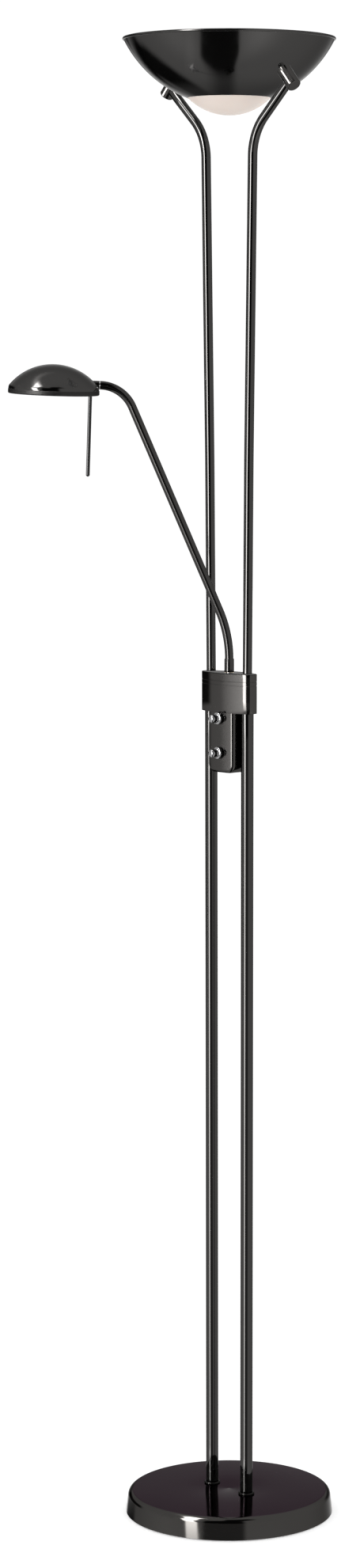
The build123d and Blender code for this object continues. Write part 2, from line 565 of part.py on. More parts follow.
parts['arm_tube'] = one(sweep_circle(arm_w, ARM_R, ARM_RI))

# frame of the head
TX = Vector(ARM_D.X * math.cos(TIP_RISE), ARM_D.Y * math.cos(TIP_RISE), math.sin(TIP_RISE))
TZ_up = Vector(-ARM_D.X * math.sin(TIP_RISE), -ARM_D.Y * math.sin(TIP_RISE), math.cos(TIP_RISE))
TY_up = TZ_up.cross(TX)
TZ = TZ_up * math.cos(HEAD_LEAN) + TY_up * math.sin(HEAD_LEAN)
head_loc = Plane(origin=A3, x_dir=TX, z_dir=TZ).location
print('head axis point', [round(v, 6) for v in A3], 'axis', [round(v, 9) for v in TX], 'up', [round(v, 9) for v in TZ])


def along(points):
    """Turned piece about the head's x axis; points are (r, x)."""
    return Plane(origin=(0, 0, 0), x_dir=(0, 0, 1), z_dir=(1, 0, 0)).location * turned(points)


# the arm's tip: hollow spigot that the head turns on
tip = along([
    (2.1, -6.0), ('l', (3.5, -6.0)), ('l', (3.5, 0.02)), ('l', (ARM_R, 0.02)), ('l', (ARM_R, 0.8)), ('l', (3.5, 0.8)),
    ('l', (3.5, 21.4)), ('l', (2.1, 21.4))])
parts['arm_tip_spigot'] = one(head_loc * tip)
tnut = Plane(origin=(17.75, 0, 0), x_dir=(0, 1, 0), z_dir=(1, 0, 0)).location * (
    extrude(RegularPolygon(8.0 / math.sqrt(3), 6), 3.2) - cyl(3.53, -1, 5))
parts['arm_tip_nut'] = one(head_loc * tnut)

ALR = 1.5
arm_lead_w = Wire([Line(arm_pt(0, 1010.2), s1), ThreePointArc(s1, m1, e1), Line(e1, s2), ThreePointArc(s2, m2, e2),
                   Line(e2, A3 + TX * 21.8)])
arm_lead = sweep_circle(arm_lead_w, ALR)
print('arm lead radii', [ARM_BEND_1, ARM_BEND_2], 'volume', round(arm_lead.volume, 1), 'section x length', round(math.pi * ALR ** 2 * arm_lead_w.length, 1))
parts['arm_lead'] = one(arm_lead)

# ------------------------------------------------------------ reading head
socket = along([
    (3.56, 0.95), ('l', (5.0, 0.95)), ('l', (ARM_R, 1.15)), ('l', (ARM_R, 17.4)), ('l', (3.56, 17.4))])
socket -= cyl(1.25, -12.0, -3.0, HANDLE_X)
parts['head_socket'] = one(head_loc * socket)


def hp(r, h):
    return (r, HEAD_Z0 + h)


oc = DOME_H - DOME_R
rs = 54.1
ho = oc + math.sqrt(DOME_R ** 2 - rs ** 2)
rin = 52.9
hi = oc + math.sqrt((DOME_R - SHADE_T) ** 2 - rin ** 2)
r_mid = 30.0
shade = turned([
    hp(0, DOME_H), ('a', hp(r_mid, oc + math.sqrt(DOME_R ** 2 - r_mid ** 2)), hp(rs, ho)),
    ('a', hp(54.52, 7.7), hp(54.62, 5.6)), ('l', hp(HEAD_R, 5.3)), ('l', hp(HEAD_R + 0.05, 1.5)),
    ('a', hp(54.6, 0.4), hp(53.6, 0.0)), ('l', hp(52.9, 0.0)), ('a', hp(52.5, 0.45), hp(52.9, 0.9)), ('l', hp(53.6, 1.2)), ('l', hp(53.62, 5.6)),
    ('a', hp(53.35, 7.4), hp(rin, hi)),
    ('a', hp(r_mid, oc + math.sqrt((DOME_R - SHADE_T) ** 2 - r_mid ** 2)), hp(0, DOME_H - SHADE_T))])
shade = Pos(HEAD_CX, 0, 0) * shade
shade -= rod_between((-5, 0, 0), (16, 0, 0), ARM_R + 0.06)
parts['head_shade'] = one(head_loc * shade)

fr = [(15.6, -6.6), (15.6, 5.6), (29.5, 13.6), (44.0, 18.9), (69.0, 18.9), (69.0, 17.5), (44.3, 17.5), (30.1, 12.2), (17.0, 4.8), (17.0, -6.6)]
frame_ = extrude(Plane.XZ * make_face(Polyline(*fr, close=True)), 8.0, both=True)
frame_ -= rod_between((10, 0, 0), (20, 0, 0), ARM_R + 0.02)
frame_ -= cyl(2.05, 10, 25, HEAD_CX)
frame_ -= cyl(1.6, 10, 25, 38.5)
parts['head_frame'] = one(head_loc * frame_)

top_in = HEAD_Z0 + DOME_H - SHADE_T
stud = cyl(2.0, 8.0, top_in - 0.3, HEAD_CX) + cyl(4.0, 18.93, top_in - 0.2, HEAD_CX)
snut = hexagon(7.0, 12.6, 15.4, HEAD_CX) - cyl(2.03, 10, 20, HEAD_CX)
snut2 = hexagon(7.0, 8.2, 10.9, HEAD_CX) - cyl(2.03, 5, 20, HEAD_CX)
spacer = cyl(3.4, 15.42, 17.47, HEAD_CX, ri=2.05)
parts['shade_stud'] = one(head_loc * stud)
parts['shade_stud_nuts'] = Compound(children=[one(head_loc * snut), one(head_loc * snut2), one(head_loc * spacer)])

RT = 0.6
refl = turned([
    (2.1, 11.0), ('l', (14.0, 11.0)), ('a', (23.6, 6.2), (29.0, -4.2)), ('l', (30.6, -4.2)), ('l', (30.6, -4.2 + RT)), ('l', (29.55, -4.2 + RT)),
    ('a', (24.1, 6.65), (14.2, 11.0 + RT)), ('l', (2.1, 11.0 + RT))])
refl = Pos(HEAD_CX, 0, 0) * refl
refl -= cyl(1.7, 5, 15, 38.5)
parts['head_reflector'] = one(head_loc * refl)

hold = box(35.2, 44.0, -5.5, 5.5, -2.0, 6.2)
hold = fillet(hold.edges().filter_by(Axis.X), 1.2)
hold += box(36.0, 41.2, -3.2, 3.2, 5.0, 8.3)
hold -= rod_between((42.0, 0, 2.0), (46, 0, 2.0), 3.2)
hold += cyl(1.5, 7.0, 17.0, 38.5)
parts['head_lamp_holder'] = one(head_loc * hold)
cap_ = rod_between((42.1, 0, 2.0), (68.0, 0, 2.0), 3.0)
env = rod_between((44.1, 0, 2.0), (68.0, 0, 2.0), 4.7) + Pos(68.0, 0, 2.0) * Sphere(4.7)
lamp = env + rod_between((42.1, 0, 2.0), (45.0, 0, 2.0), 3.0)
parts['head_lamp'] = one(head_loc * lamp)

parts['head_front_glass'] = one(head_loc * cyl(29.9, -6.3, -4.3, HEAD_CX))
gring = turned([
    (27.6, -7.3), ('l', (31.0, -7.3)), ('a', (31.8, -7.0), (32.1, -6.2)), ('l', (32.1, -2.9)), ('l', (29.9, -2.9)), ('l', (29.9, -3.5)),
    ('l', (31.0, -3.5)), ('l', (31.0, -6.35)), ('l', (27.6, -6.35))])
parts['head_glass_ring'] = one(head_loc * (Pos(HEAD_CX, 0, 0) * gring))

hz0 = HEAD_Z0 - HANDLE_L
handle = turned([
    (0, hz0), ('a', (1.6, hz0 + 0.6), (HANDLE_R, hz0 + 2.2)), ('l', (HANDLE_R, -5.6)), ('l', (1.2, -5.6)), ('l', (1.2, -3.7)), ('l', (0, -3.7))])
handle = Pos(HANDLE_X, 0, 0) * handle
handle -= rod_between((-5, 0, 0), (30, 0, 0), ARM_R + 0.01) - cyl(1.2, -8, 0, HANDLE_X)
parts['handle_rod'] = one(head_loc * handle)

# ------------------------------------------------------------ files
os.makedirs("parts", exist_ok=True)
for name, shape in parts.items():
    export_step(shape, "parts/%s.step" % name)
print(len(parts), 'nodes')
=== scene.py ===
import json
import math

import bmesh
import bpy
from mathutils import Matrix, Vector


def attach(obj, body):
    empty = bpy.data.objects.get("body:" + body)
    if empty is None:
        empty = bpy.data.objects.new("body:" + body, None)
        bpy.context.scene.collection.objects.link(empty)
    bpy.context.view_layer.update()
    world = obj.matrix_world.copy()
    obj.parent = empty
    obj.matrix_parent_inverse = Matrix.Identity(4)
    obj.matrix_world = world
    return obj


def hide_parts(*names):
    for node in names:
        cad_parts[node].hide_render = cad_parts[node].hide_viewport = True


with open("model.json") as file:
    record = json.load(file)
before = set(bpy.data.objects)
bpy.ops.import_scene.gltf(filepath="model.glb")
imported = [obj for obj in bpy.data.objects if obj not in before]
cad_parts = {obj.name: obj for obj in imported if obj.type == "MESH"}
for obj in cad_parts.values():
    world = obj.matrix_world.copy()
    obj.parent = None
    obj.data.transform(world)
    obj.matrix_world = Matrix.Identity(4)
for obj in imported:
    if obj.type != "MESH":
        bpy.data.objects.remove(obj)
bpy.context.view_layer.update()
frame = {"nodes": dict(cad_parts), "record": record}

NODES = frame["nodes"]
MM = 0.001
scene = bpy.context.scene

# ---------------------------------------------------------------- camera
AZ = math.radians(47.77)
CAM_D, CAM_H, FOCAL_PX = 4.563, 1.4154, 4773.4
PITCH = math.radians(6.36)
CX = 289.72
cam_data = bpy.data.cameras.new("main_camera")
cam = bpy.data.objects.new("main_camera", cam_data)
scene.collection.objects.link(cam)
cam.location = (math.sin(AZ) * CAM_D, -math.cos(AZ) * CAM_D, CAM_H)
look = Vector((-math.sin(AZ) * math.cos(PITCH), math.cos(AZ) * math.cos(PITCH), -math.sin(PITCH)))
cam.rotation_mode = "QUATERNION"
cam.rotation_quaternion = look.to_track_quat("-Z", "Y")
cam_data.sensor_fit = "AUTO"
cam_data.sensor_width = 36.0
cam_data.lens = 36.0 * FOCAL_PX / 1981.0
cam_data.shift_x = -(CX - 431 / 2) / 1981.0
cam_data.clip_start, cam_data.clip_end = 0.05, 100.0
scene.camera = cam

scene.view_settings.view_transform = "Standard"
scene.view_settings.look = "None"
scene.view_settings.exposure = 0.0
scene.view_settings.gamma = 1.0


# ---------------------------------------------------------------- node helpers
class Net:
    """Small helper that writes maths in a node tree."""

    def __init__(self, tree):
        self.tree = tree

    def new(self, kind, **props):
        n = self.tree.nodes.new(kind)
        for k, v in props.items():
            setattr(n, k, v)
        return n

    def put(self, socket, value):
        if isinstance(value, bpy.types.NodeSocket):
            self.tree.links.new(value, socket)
        else:
            socket.default_value = value

    def m(self, op, a, b=None, c=None, clamp=False):
        n = self.new("ShaderNodeMath", operation=op, use_clamp=clamp)
        for s, v in zip(n.inputs, (a, b, c)):
            if v is not None:
                self.put(s, v)
        return n.outputs[0]

    def ramp(self, v, lo, hi, a, b):
        n = self.new("ShaderNodeMapRange", interpolation_type="SMOOTHSTEP", clamp=True)
        for i, x in enumerate((v, lo, hi, a, b)):
            self.put(n.inputs[i], x)
        return n.outputs[0]

    def dot(self, a, b):
        n = self.new("ShaderNodeVectorMath", operation="DOT_PRODUCT")
        self.put(n.inputs[0], a)
        self.put(n.inputs[1], b)
        return n.outputs["Value"]

    def mixc(self, f, a, b):
        n = self.new("ShaderNodeMix", data_type="RGBA")
        self.put(n.inputs[0], f)
        self.put(n.inputs[6], a)
        self.put(n.inputs[7], b)
        return n.outputs[2]

    def noise(self, vec, scale, detail=3.0, rough=0.5, dist=0.0):
        n = self.new("ShaderNodeTexNoise")
        if vec is not None:
            self.put(n.inputs["Vector"], vec)
        n.inputs["Scale"].default_value = scale
        n.inputs["Detail"].default_value = detail
        n.inputs["Roughness"].default_value = rough
        n.inputs["Distortion"].default_value = dist
        return n.outputs[0]

    def stretch(self, vec, s):
        n = self.new("ShaderNodeVectorMath", operation="MULTIPLY")
        self.put(n.inputs[0], vec)
        self.put(n.inputs[1], s)
        return n.outputs[0]


# ---------------------------------------------------------------- studio
def direction(az, el):
    a, e = math.radians(az), math.radians(el)
    return Vector((math.sin(a) * math.cos(e), -math.cos(a) * math.cos(e), math.sin(e)))


world = bpy.data.worlds.new("studio")
scene.world = world
world.use_nodes = True
wt = world.node_tree
wt.nodes.clear()
W = Net(wt)
tc = W.new("ShaderNodeTexCoord")
vec = tc.outputs["Generated"]
sep = W.new("ShaderNodeSeparateXYZ")
W.put(sep.inputs[0], vec)
azd = W.m("DEGREES", W.m("ARCTAN2", sep.outputs[0], W.m("MULTIPLY", sep.outputs[1], -1.0)))
eld = W.m("DEGREES", W.m("ARCSINE", sep.outputs[2]))


def off_az(a0):
    return W.m("ABSOLUTE", W.m("WRAP", W.m("SUBTRACT", azd, a0), 180.0, -180.0))


def az_band(a0, half, soft):
    return W.ramp(off_az(a0), half - soft / 2, half + soft / 2, 1.0, 0.0)


def el_band(lo, hi, soft):
    return W.m("MULTIPLY", W.ramp(eld, lo - soft / 2, lo + soft / 2, 0.0, 1.0), W.ramp(eld, hi - soft / 2, hi + soft / 2, 1.0, 0.0))


def darken(level, mask, depth):
    return W.m("MULTIPLY", level, W.m("SUBTRACT", 1.0, W.m("MULTIPLY", mask, depth)))


def blob(a, e, wa, we):
    x = W.m("DIVIDE", off_az(a), wa)
    y = W.m("DIVIDE", W.m("SUBTRACT", eld, e), we)
    return W.m("EXPONENT", W.m("MULTIPLY", W.m("ADD", W.m("MULTIPLY", x, x), W.m("MULTIPLY", y, y)), -1.0))


level = 0.98
# brighter walls on both sides
level = W.m("ADD", level, W.m("MULTIPLY", blob(-25.0, -40.0, 26.0, 30.0), 0.40))
level = W.m("ADD", level, W.m("MULTIPLY", blob(90.0, -48.0, 26.0, 22.0), 0.65))
# below the horizon only the bowl mirrors the room, so its cards are laid out over the bowl's own surface:
# the half way vector between the mirrored direction and the camera is the bowl's normal at that place
to_cam = direction(47.77, -4.48)
c_right = Vector((math.cos(AZ), math.sin(AZ), 0.0))
c_up = Vector((-math.sin(AZ) * math.sin(PITCH), math.cos(AZ) * math.sin(PITCH), math.cos(PITCH)))
hv = W.new("ShaderNodeVectorMath", operation="ADD")
W.put(hv.inputs[0], vec)
W.put(hv.inputs[1], to_cam)
hn = W.new("ShaderNodeVectorMath", operation="NORMALIZE")
W.put(hn.inputs[0], hv.outputs[0])
normal = hn.outputs[0]
depth_b = W.m("ADD", 4485.6, W.m("MULTIPLY", W.dot(normal, look), 140.7))
bx = W.m("ADD", 287.6, W.m("DIVIDE", W.m("MULTIPLY", W.dot(normal, c_right), 4773.4 * 140.7), depth_b))
by = W.m("SUBTRACT", 990.5, W.m("MULTIPLY", W.m("DIVIDE", W.m("ADD", 947.9, W.m("MULTIPLY", W.dot(normal, c_up), 140.7)), depth_b), 4773.4))
down = W.m("SUBTRACT", by, 50.0)
down2 = W.m("MULTIPLY", down, down)


def curve(c0, c1, c2):
    return W.m("ADD", W.m("ADD", c0, W.m("MULTIPLY", down, c1)), W.m("MULTIPLY", down2, c2))


below = level
wedge = W.m("MULTIPLY", W.ramp(W.m("SUBTRACT", bx, curve(170.0, 1.0, 0.0048)), -4.0, 8.0, 1.0, 0.0), W.ramp(W.m("SUBTRACT", bx, curve(157.0, 0.35, 0.0125)), -4.0, 3.0, 0.0, 1.0))
below = darken(below, W.m("MULTIPLY", wedge, W.ramp(by, 100.0, 116.0, 1.0, 0.55)), 0.95)
left_edge = W.m("ADD", 250.5, W.m("MULTIPLY", W.ramp(by, 68.0, 98.0, 0.0, 1.0), 16.0))
soft_w = W.ramp(by, 70.0, 96.0, 3.0, 13.0)
band = W.ramp(W.m("DIVIDE", W.m("SUBTRACT", bx, left_edge), soft_w), -1.0, 1.0, 0.0, 1.0)
band = W.m("MULTIPLY", band, W.ramp(W.m("SUBTRACT", bx, W.ramp(by, 60.0, 94.0, 300.5, 294.0)), W.ramp(by, 80.0, 98.0, -2.0, -8.0), W.ramp(by, 80.0, 98.0, 2.0, 8.0), 1.0, 0.0))
below = darken(below, band, W.ramp(by, 84.0, 106.0, 0.95, 0.60))
below = W.m("MULTIPLY", below, W.ramp(by, 92.0, 120.0, 1.0, 0.72))
below = W.m("ADD", below, W.m("MULTIPLY", W.m("MULTIPLY", W.ramp(W.m("ABSOLUTE", W.m("SUBTRACT", bx, 237.0)), 2.0, 8.0, 1.0, 0.0), W.ramp(by, 82.0, 96.0, 1.0, 0.0)), 0.16))
# above that the dark side from which the camera looks
centre = W.m("ADD", 41.5, W.m("MULTIPLY", W.ramp(eld, 38.0, 52.0, 0.0, 1.0), 22.0))
off = W.m("ABSOLUTE", W.m("WRAP", W.m("SUBTRACT", azd, centre), 180.0, -180.0))
card = W.ramp(W.m("SUBTRACT", off, 23.5), -3.5, 3.5, 1.0, 0.0)
card = W.m("MULTIPLY", card, W.ramp(eld, 66.0, 76.0, 1.0, 0.0))
above = darken(level, card, W.m("SUBTRACT", 0.97, W.m("MULTIPLY", el_band(-19.0, -5.0, 6.0), 0.22)))
above = darken(above, W.m("MULTIPLY", az_band(-101.0, 16.0, 9.0), W.ramp(eld, -18.0, -10.0, 1.0, 0.0)), 0.97)
above = darken(above, W.m("MULTIPLY", az_band(-90.0, 22.0, 10.0), el_band(-9.0, 13.0, 4.0)), 0.93)
above = darken(above, W.m("MULTIPLY", az_band(-115.0, 14.0, 12.0), el_band(-4.0, 14.0, 6.0)), 0.80)
above = darken(above, W.m("MULTIPLY", az_band(205.0, 16.0, 12.0), el_band(-4.0, 14.0, 6.0)), 0.80)
share = W.ramp(eld, -26.0, -20.0, 1.0, 0.0)
level = W.m("ADD", W.m("MULTIPLY", below, share), W.m("MULTIPLY", above, W.m("SUBTRACT", 1.0, share)))
# tall strip light on the left of the camera, and a smaller one above it
p1, p2 = direction(4.0, -5.0), direction(-20.0, 62.0)
side = p1.cross(p2).normalized()
away = W.m("DEGREES", W.m("ARCSINE", W.m("ABSOLUTE", W.dot(vec, side))))
strip = W.ramp(away, 5.2, 8.0, 1.0, 0.0)
strip = W.m("MULTIPLY", strip, W.ramp(W.dot(vec, p1), 0.0, 0.25, 0.0, 1.0))
strip = W.m("MULTIPLY", strip, W.ramp(eld, -18.0, 3.0, 0.32, 1.0))
strip = W.m("MULTIPLY", strip, W.ramp(eld, -21.0, -16.5, 0.0, 1.0))
gap = W.m("ADD", W.ramp(eld, 24.0, 33.0, 1.0, 0.0), W.m("MULTIPLY", W.ramp(eld, 50.0, 56.0, 0.0, 1.0), W.ramp(eld, 65.0, 73.0, 1.0, 0.0)))
level = W.m("ADD", level, W.m("MULTIPLY", W.m("MULTIPLY", strip, gap), 27.0))
level = W.m("ADD", level, W.m("MULTIPLY", blob(-44.0, 66.0, 22.0, 4.0), 4.0))
level = W.m("ADD", level, W.m("MULTIPLY", blob(-84.0, 64.0, 30.0, 4.0), 1.5))

lp = W.new("ShaderNodeLightPath")
plain = W.new("ShaderNodeBackground")
plain.inputs[0].default_value = (1.0, 1.0, 1.0, 1)
plain.inputs[1].default_value = 1.04
mirrored = W.new("ShaderNodeBackground")
mirrored.inputs[0].default_value = (1.0, 0.992, 0.985, 1)
W.put(mirrored.inputs[1], level)
mix = W.new("ShaderNodeMixShader")
W.put(mix.inputs[0], lp.outputs["Is Glossy Ray"])
W.put(mix.inputs[1], plain.outputs[0])
W.put(mix.inputs[2], mirrored.outputs[0])
wout = W.new("ShaderNodeOutputWorld")
W.put(wout.inputs[0], mix.outputs[0])
world.cycles.sampling_method = "NONE"

floor_mesh = bpy.data.meshes.new("studio_floor")
bm = bmesh.new()
bmesh.ops.create_grid(bm, x_segments=24, y_segments=24, size=14.0)
bm.to_mesh(floor_mesh)
bm.free()
floor = bpy.data.objects.new("studio_floor", floor_mesh)
floor.location = (0, 0, -0.0002)
scene.collection.objects.link(floor)
floor.visible_glossy = False
fm = bpy.data.materials.new("pale_floor")
fm.use_nodes = True
F = Net(fm.node_tree)
fb = fm.node_tree.nodes["Principled BSDF"]
ftc = F.new("ShaderNodeTexCoord")
fn = F.noise(ftc.outputs["Object"], 1.3, 2.0)
F.put(fb.inputs["Base Color"], F.mixc(fn, (0.740, 0.740, 0.740, 1), (0.760, 0.760, 0.758, 1)))
fb.inputs["Roughness"].default_value = 0.9
fb.inputs["Specular IOR Level"].default_value = 0.0
fb.inputs["Emission Color"].default_value = (1.0, 1.0, 1.0, 1)
fb.inputs["Emission Strength"].default_value = 0.42
floor_mesh.materials.append(fm)


# ---------------------------------------------------------------- soft light boards, each for a few pieces only
BOARDS = []


def board(name, line, half_deg, strength, around, far=7.0, upright=None, one_sided=False):
    """Glowing strip seen only in polished pieces; line is a list of (azimuth, elevation), or upright is a list of (centre, half side)."""
    dirs = []
    for (a0, e0), (a1, e1) in zip(line[:-1], line[1:]):
        n_ = 8
        dirs += [direction(a0 + (a1 - a0) * i_ / n_, e0 + (e1 - e0) * i_ / n_) for i_ in range(n_)]
    dirs.append(direction(*line[-1]))
    b_ = bmesh.new()
    # far is the distance in metres of the glowing strip from the point around
    uv_ = b_.loops.layers.uv.new("soft")
    rows_ = []
    for i_, d_ in enumerate(dirs):
        t_ = (dirs[min(i_ + 1, len(dirs) - 1)] - dirs[max(i_ - 1, 0)]).normalized()
        s_ = d_.cross(t_).normalized()
        if upright:
            continue
        rows_.append([b_.verts.new(Vector(around) + (d_ + s_ * (math.tan(math.radians(half_deg)) * k_ / 6.0)) * far) for k_ in range(-6, 7)])
    for c_, h_ in upright or ():
        rows_.append([b_.verts.new(Vector(c_) + Vector(h_) * (k_ / 6.0)) for k_ in range(-6, 7)])
    for i_ in range(len(rows_) - 1):
        for k_ in range(12):
            f_ = b_.faces.new([rows_[i_][k_], rows_[i_ + 1][k_], rows_[i_ + 1][k_ + 1], rows_[i_][k_ + 1]])
            for lp_, q_ in zip(f_.loops, [(k_, i_), (k_, i_ + 1), (k_ + 1, i_ + 1), (k_ + 1, i_)]):
                lp_[uv_].uv = (q_[0] / 12.0, q_[1] / (len(rows_) - 1.0))
    me_ = bpy.data.meshes.new(name)
    b_.to_mesh(me_)
    b_.free()
    ob_ = bpy.data.objects.new(name, me_)
    scene.collection.objects.link(ob_)
    mt_ = bpy.data.materials.new(name)
    mt_.use_nodes = True
    mt_.node_tree.nodes.clear()
    E = Net(mt_.node_tree)
    uvn = E.new("ShaderNodeUVMap", uv_map="soft")
    sx_ = E.new("ShaderNodeSeparateXYZ")
    E.put(sx_.inputs[0], uvn.outputs[0])
    def window(v_, soft_):
        return E.ramp(E.m("ABSOLUTE", E.m("SUBTRACT", v_, 0.5)), 0.5 - soft_, 0.5, 1.0, 0.0)
    em = E.new("ShaderNodeEmission")
    across = E.m("MULTIPLY", E.ramp(sx_.outputs[0], 0.0, 0.08, 0.0, 1.0), E.m("SUBTRACT", 1.0, sx_.outputs[0])) if one_sided else window(sx_.outputs[0], 0.2)
    E.put(em.inputs[1], E.m("MULTIPLY", E.m("MULTIPLY", across, window(sx_.outputs[1], 0.14)), strength))
    tr_ = E.new("ShaderNodeBsdfTransparent")
    ad = E.new("ShaderNodeAddShader")
    E.put(ad.inputs[0], em.outputs[0])
    E.put(ad.inputs[1], tr_.outputs[0])
    out_ = E.new("ShaderNodeOutputMaterial")
    E.put(out_.inputs[0], ad.outputs[0])
    mt_.cycles.emission_sampling = "NONE"
    me_.materials.append(mt_)
    ob_.visible_camera = ob_.visible_diffuse = ob_.visible_transmission = ob_.visible_shadow = ob_.visible_volume_scatter = False
    BOARDS.append(ob_)
    return ob_


def light_only(board_, pieces):
    c_ = bpy.data.collections.new(board_.name + "_for")
    for p_ in pieces:
        c_.objects.link(p_)
    board_.light_linking.receiver_collection = c_


# ---------------------------------------------------------------- materials
def material(name):
    mt = bpy.data.materials.new(name)
    mt.use_nodes = True
    b = mt.node_tree.nodes["Principled BSDF"]
    return mt, Net(mt.node_tree), b


def bump(N, b, height, strength, distance):
    n = N.new("ShaderNodeBump")
    n.inputs["Strength"].default_value = strength
    n.inputs["Distance"].default_value = distance
    N.put(n.inputs["Height"], height)
    N.put(b.inputs["Normal"], n.outputs[0])


def grain_vec(N, kind):
    if kind == "map":
        u = N.new("ShaderNodeUVMap", uv_map="grain")
        return u.outputs[0]
    t = N.new("ShaderNodeTexCoord")
    return t.outputs["Object"]


def plated(name, dark, light, r0, r1, kind="map", grain=(40.0, 2600.0, 1.0), depth=0.05, tint=0.5):
    """Polished plating: slow tone and gloss drift, fine polishing lines."""
    mt, N, b = material(name)
    t = N.new("ShaderNodeTexCoord")
    slow = N.noise(t.outputs["Object"], 9.0, 4.0, 0.55)
    smear = N.noise(t.outputs["Object"], 38.0, 5.0, 0.62, 0.4)
    lines = N.noise(N.stretch(grain_vec(N, kind), grain), 1.0, 2.0, 0.5)
    N.put(b.inputs["Base Color"], N.mixc(slow, (*dark, 1), (*light, 1)))
    b.inputs["Metallic"].default_value = 1.0
    b.inputs["Specular Tint"].default_value = (*tint, 1) if isinstance(tint, tuple) else (tint, tint, tint, 1)
    rough = N.m("ADD", N.ramp(smear, 0.35, 0.7, r0, r1), N.m("MULTIPLY", lines, (r1 - r0) * 0.5))
    N.put(b.inputs["Roughness"], rough)
    if depth:
        bump(N, b, lines, depth, 0.00004)
    return mt


BC_D, BC_L = (0.0480, 0.0470, 0.0460), (0.0545, 0.0535, 0.0525)
M_TURNED = plated("black_chrome_turned", BC_D, BC_L, 0.07, 0.12, "map", (25.0, 2400.0, 1.0), 0.07)
M_BASE = plated("black_chrome_base", (0.0450, 0.0432, 0.0412), (0.0500, 0.0482, 0.0462), 0.06, 0.10, "map", (0.0, 1500.0, 1.0), 0.06)
# painted sheen: a purple-tinted copy of the base's black chrome, standing in for the purple sheen on the base top
M_BASE_TOP_SHEEN = plated("black_chrome_base_top_painted_sheen", (0.0450, 0.0365, 0.0420), (0.0500, 0.0410, 0.0465), 0.07, 0.11, "map", (0.0, 1500.0, 1.0), 0.08, (0.430, 0.420, 0.426))
M_TUBE = plated("black_chrome_tube", BC_D, BC_L, 0.04, 0.07, "map", (900.0, 4.0, 1.0), 0.0)
M_SATIN = plated("black_chrome_satin", (0.043, 0.042, 0.041), (0.049, 0.048, 0.047), 0.10, 0.14, "map", (900.0, 4.0, 1.0), 0.0)
M_CAST = plated("black_chrome_cast", (0.0500, 0.0480, 0.0465), (0.0570, 0.0550, 0.0530), 0.09, 0.13, "object", (300.0, 300.0, 300.0), 0.012)
M_PLAIN = plated("black_chrome_plain", BC_D, BC_L, 0.10, 0.16, "object", (500.0, 500.0, 500.0), 0.015)
# painted shade: a darker, rougher copy of the black chrome, used for the pole foot rings and the collar cap's top edge
M_RING_SHADE = plated("black_chrome_ring_painted_shade", (0.018, 0.0175, 0.017), (0.024, 0.0235, 0.023), 0.22, 0.30, "map", (40.0, 2400.0, 1.0), 0.03)
# painted shade: a darker, rougher copy of the black chrome for the lip band of the reading shade
M_LIP_SHADE = plated("black_chrome_lip_painted_shade", (0.028, 0.0275, 0.027), (0.034, 0.0335, 0.033), 0.42, 0.50, "map", (40.0, 1500.0, 1.0), 0.03)
M_CHROME = plated("bright_chrome", (0.62, 0.62, 0.64), (0.70, 0.70, 0.71), 0.05, 0.10, "object", (900.0, 900.0, 900.0), 0.015, 1.0)
M_HANDLE = plated("black_chrome_handle", (0.036, 0.036, 0.036), (0.042, 0.042, 0.042), 0.10, 0.14, "map", (700.0, 4.0, 1.0), 0.0)
M_KNOB = plated("dark_chrome_knob", (0.235, 0.235, 0.24), (0.285, 0.285, 0.29), 0.07, 0.12, "map", (40.0, 3000.0, 1.0), 0.04, 0.8)


def metal(name, c0, c1, r0, r1, scale=900.0, depth=0.12, kind="object", grain=(1.0, 1.0, 1.0)):
    mt, N, b = material(name)
    t = N.new("ShaderNodeTexCoord")
    v = N.stretch(t.outputs["Object"], grain)
    fine = N.noise(v, scale, 4.0, 0.6)
    slow = N.noise(t.outputs["Object"], 60.0, 3.0)
    N.put(b.inputs["Base Color"], N.mixc(N.ramp(slow, 0.35, 0.7, 0.0, 1.0), (*c0, 1), (*c1, 1)))
    b.inputs["Metallic"].default_value = 1.0
    N.put(b.inputs["Roughness"], N.ramp(fine, 0.3, 0.75, r0, r1))
    bump(N, b, fine, depth, 0.00008)
    return mt


M_ZINC = metal("zinc_plate", (0.50, 0.51, 0.53), (0.62, 0.62, 0.61), 0.24, 0.40)
M_STEEL = metal("turned_steel", (0.46, 0.46, 0.47), (0.56, 0.56, 0.57), 0.18, 0.30, 1400.0)
M_TUNGSTEN = metal("tungsten_wire", (0.30, 0.30, 0.31), (0.42, 0.42, 0.43), 0.30, 0.45, 2500.0)
M_BRASS = metal("turned_brass", (0.62, 0.44, 0.17), (0.72, 0.54, 0.25), 0.18, 0.32, 1100.0)


def solid(name, c0, c1, r0, r1, scale=400.0, depth=0.15, dist=0.00010, spec=0.5):
    mt, N, b = material(name)
    t = N.new("ShaderNodeTexCoord")
    fine = N.noise(t.outputs["Object"], scale, 4.0, 0.6)
    slow = N.noise(t.outputs["Object"], scale * 0.12, 3.0)
    N.put(b.inputs["Base Color"], N.mixc(N.ramp(slow, 0.3, 0.7, 0.0, 1.0), (*c0, 1), (*c1, 1)))
    N.put(b.inputs["Roughness"], N.ramp(fine, 0.3, 0.7, r0, r1))
    b.inputs["Specular IOR Level"].default_value = spec
    bump(N, b, fine, depth, dist)
    return mt


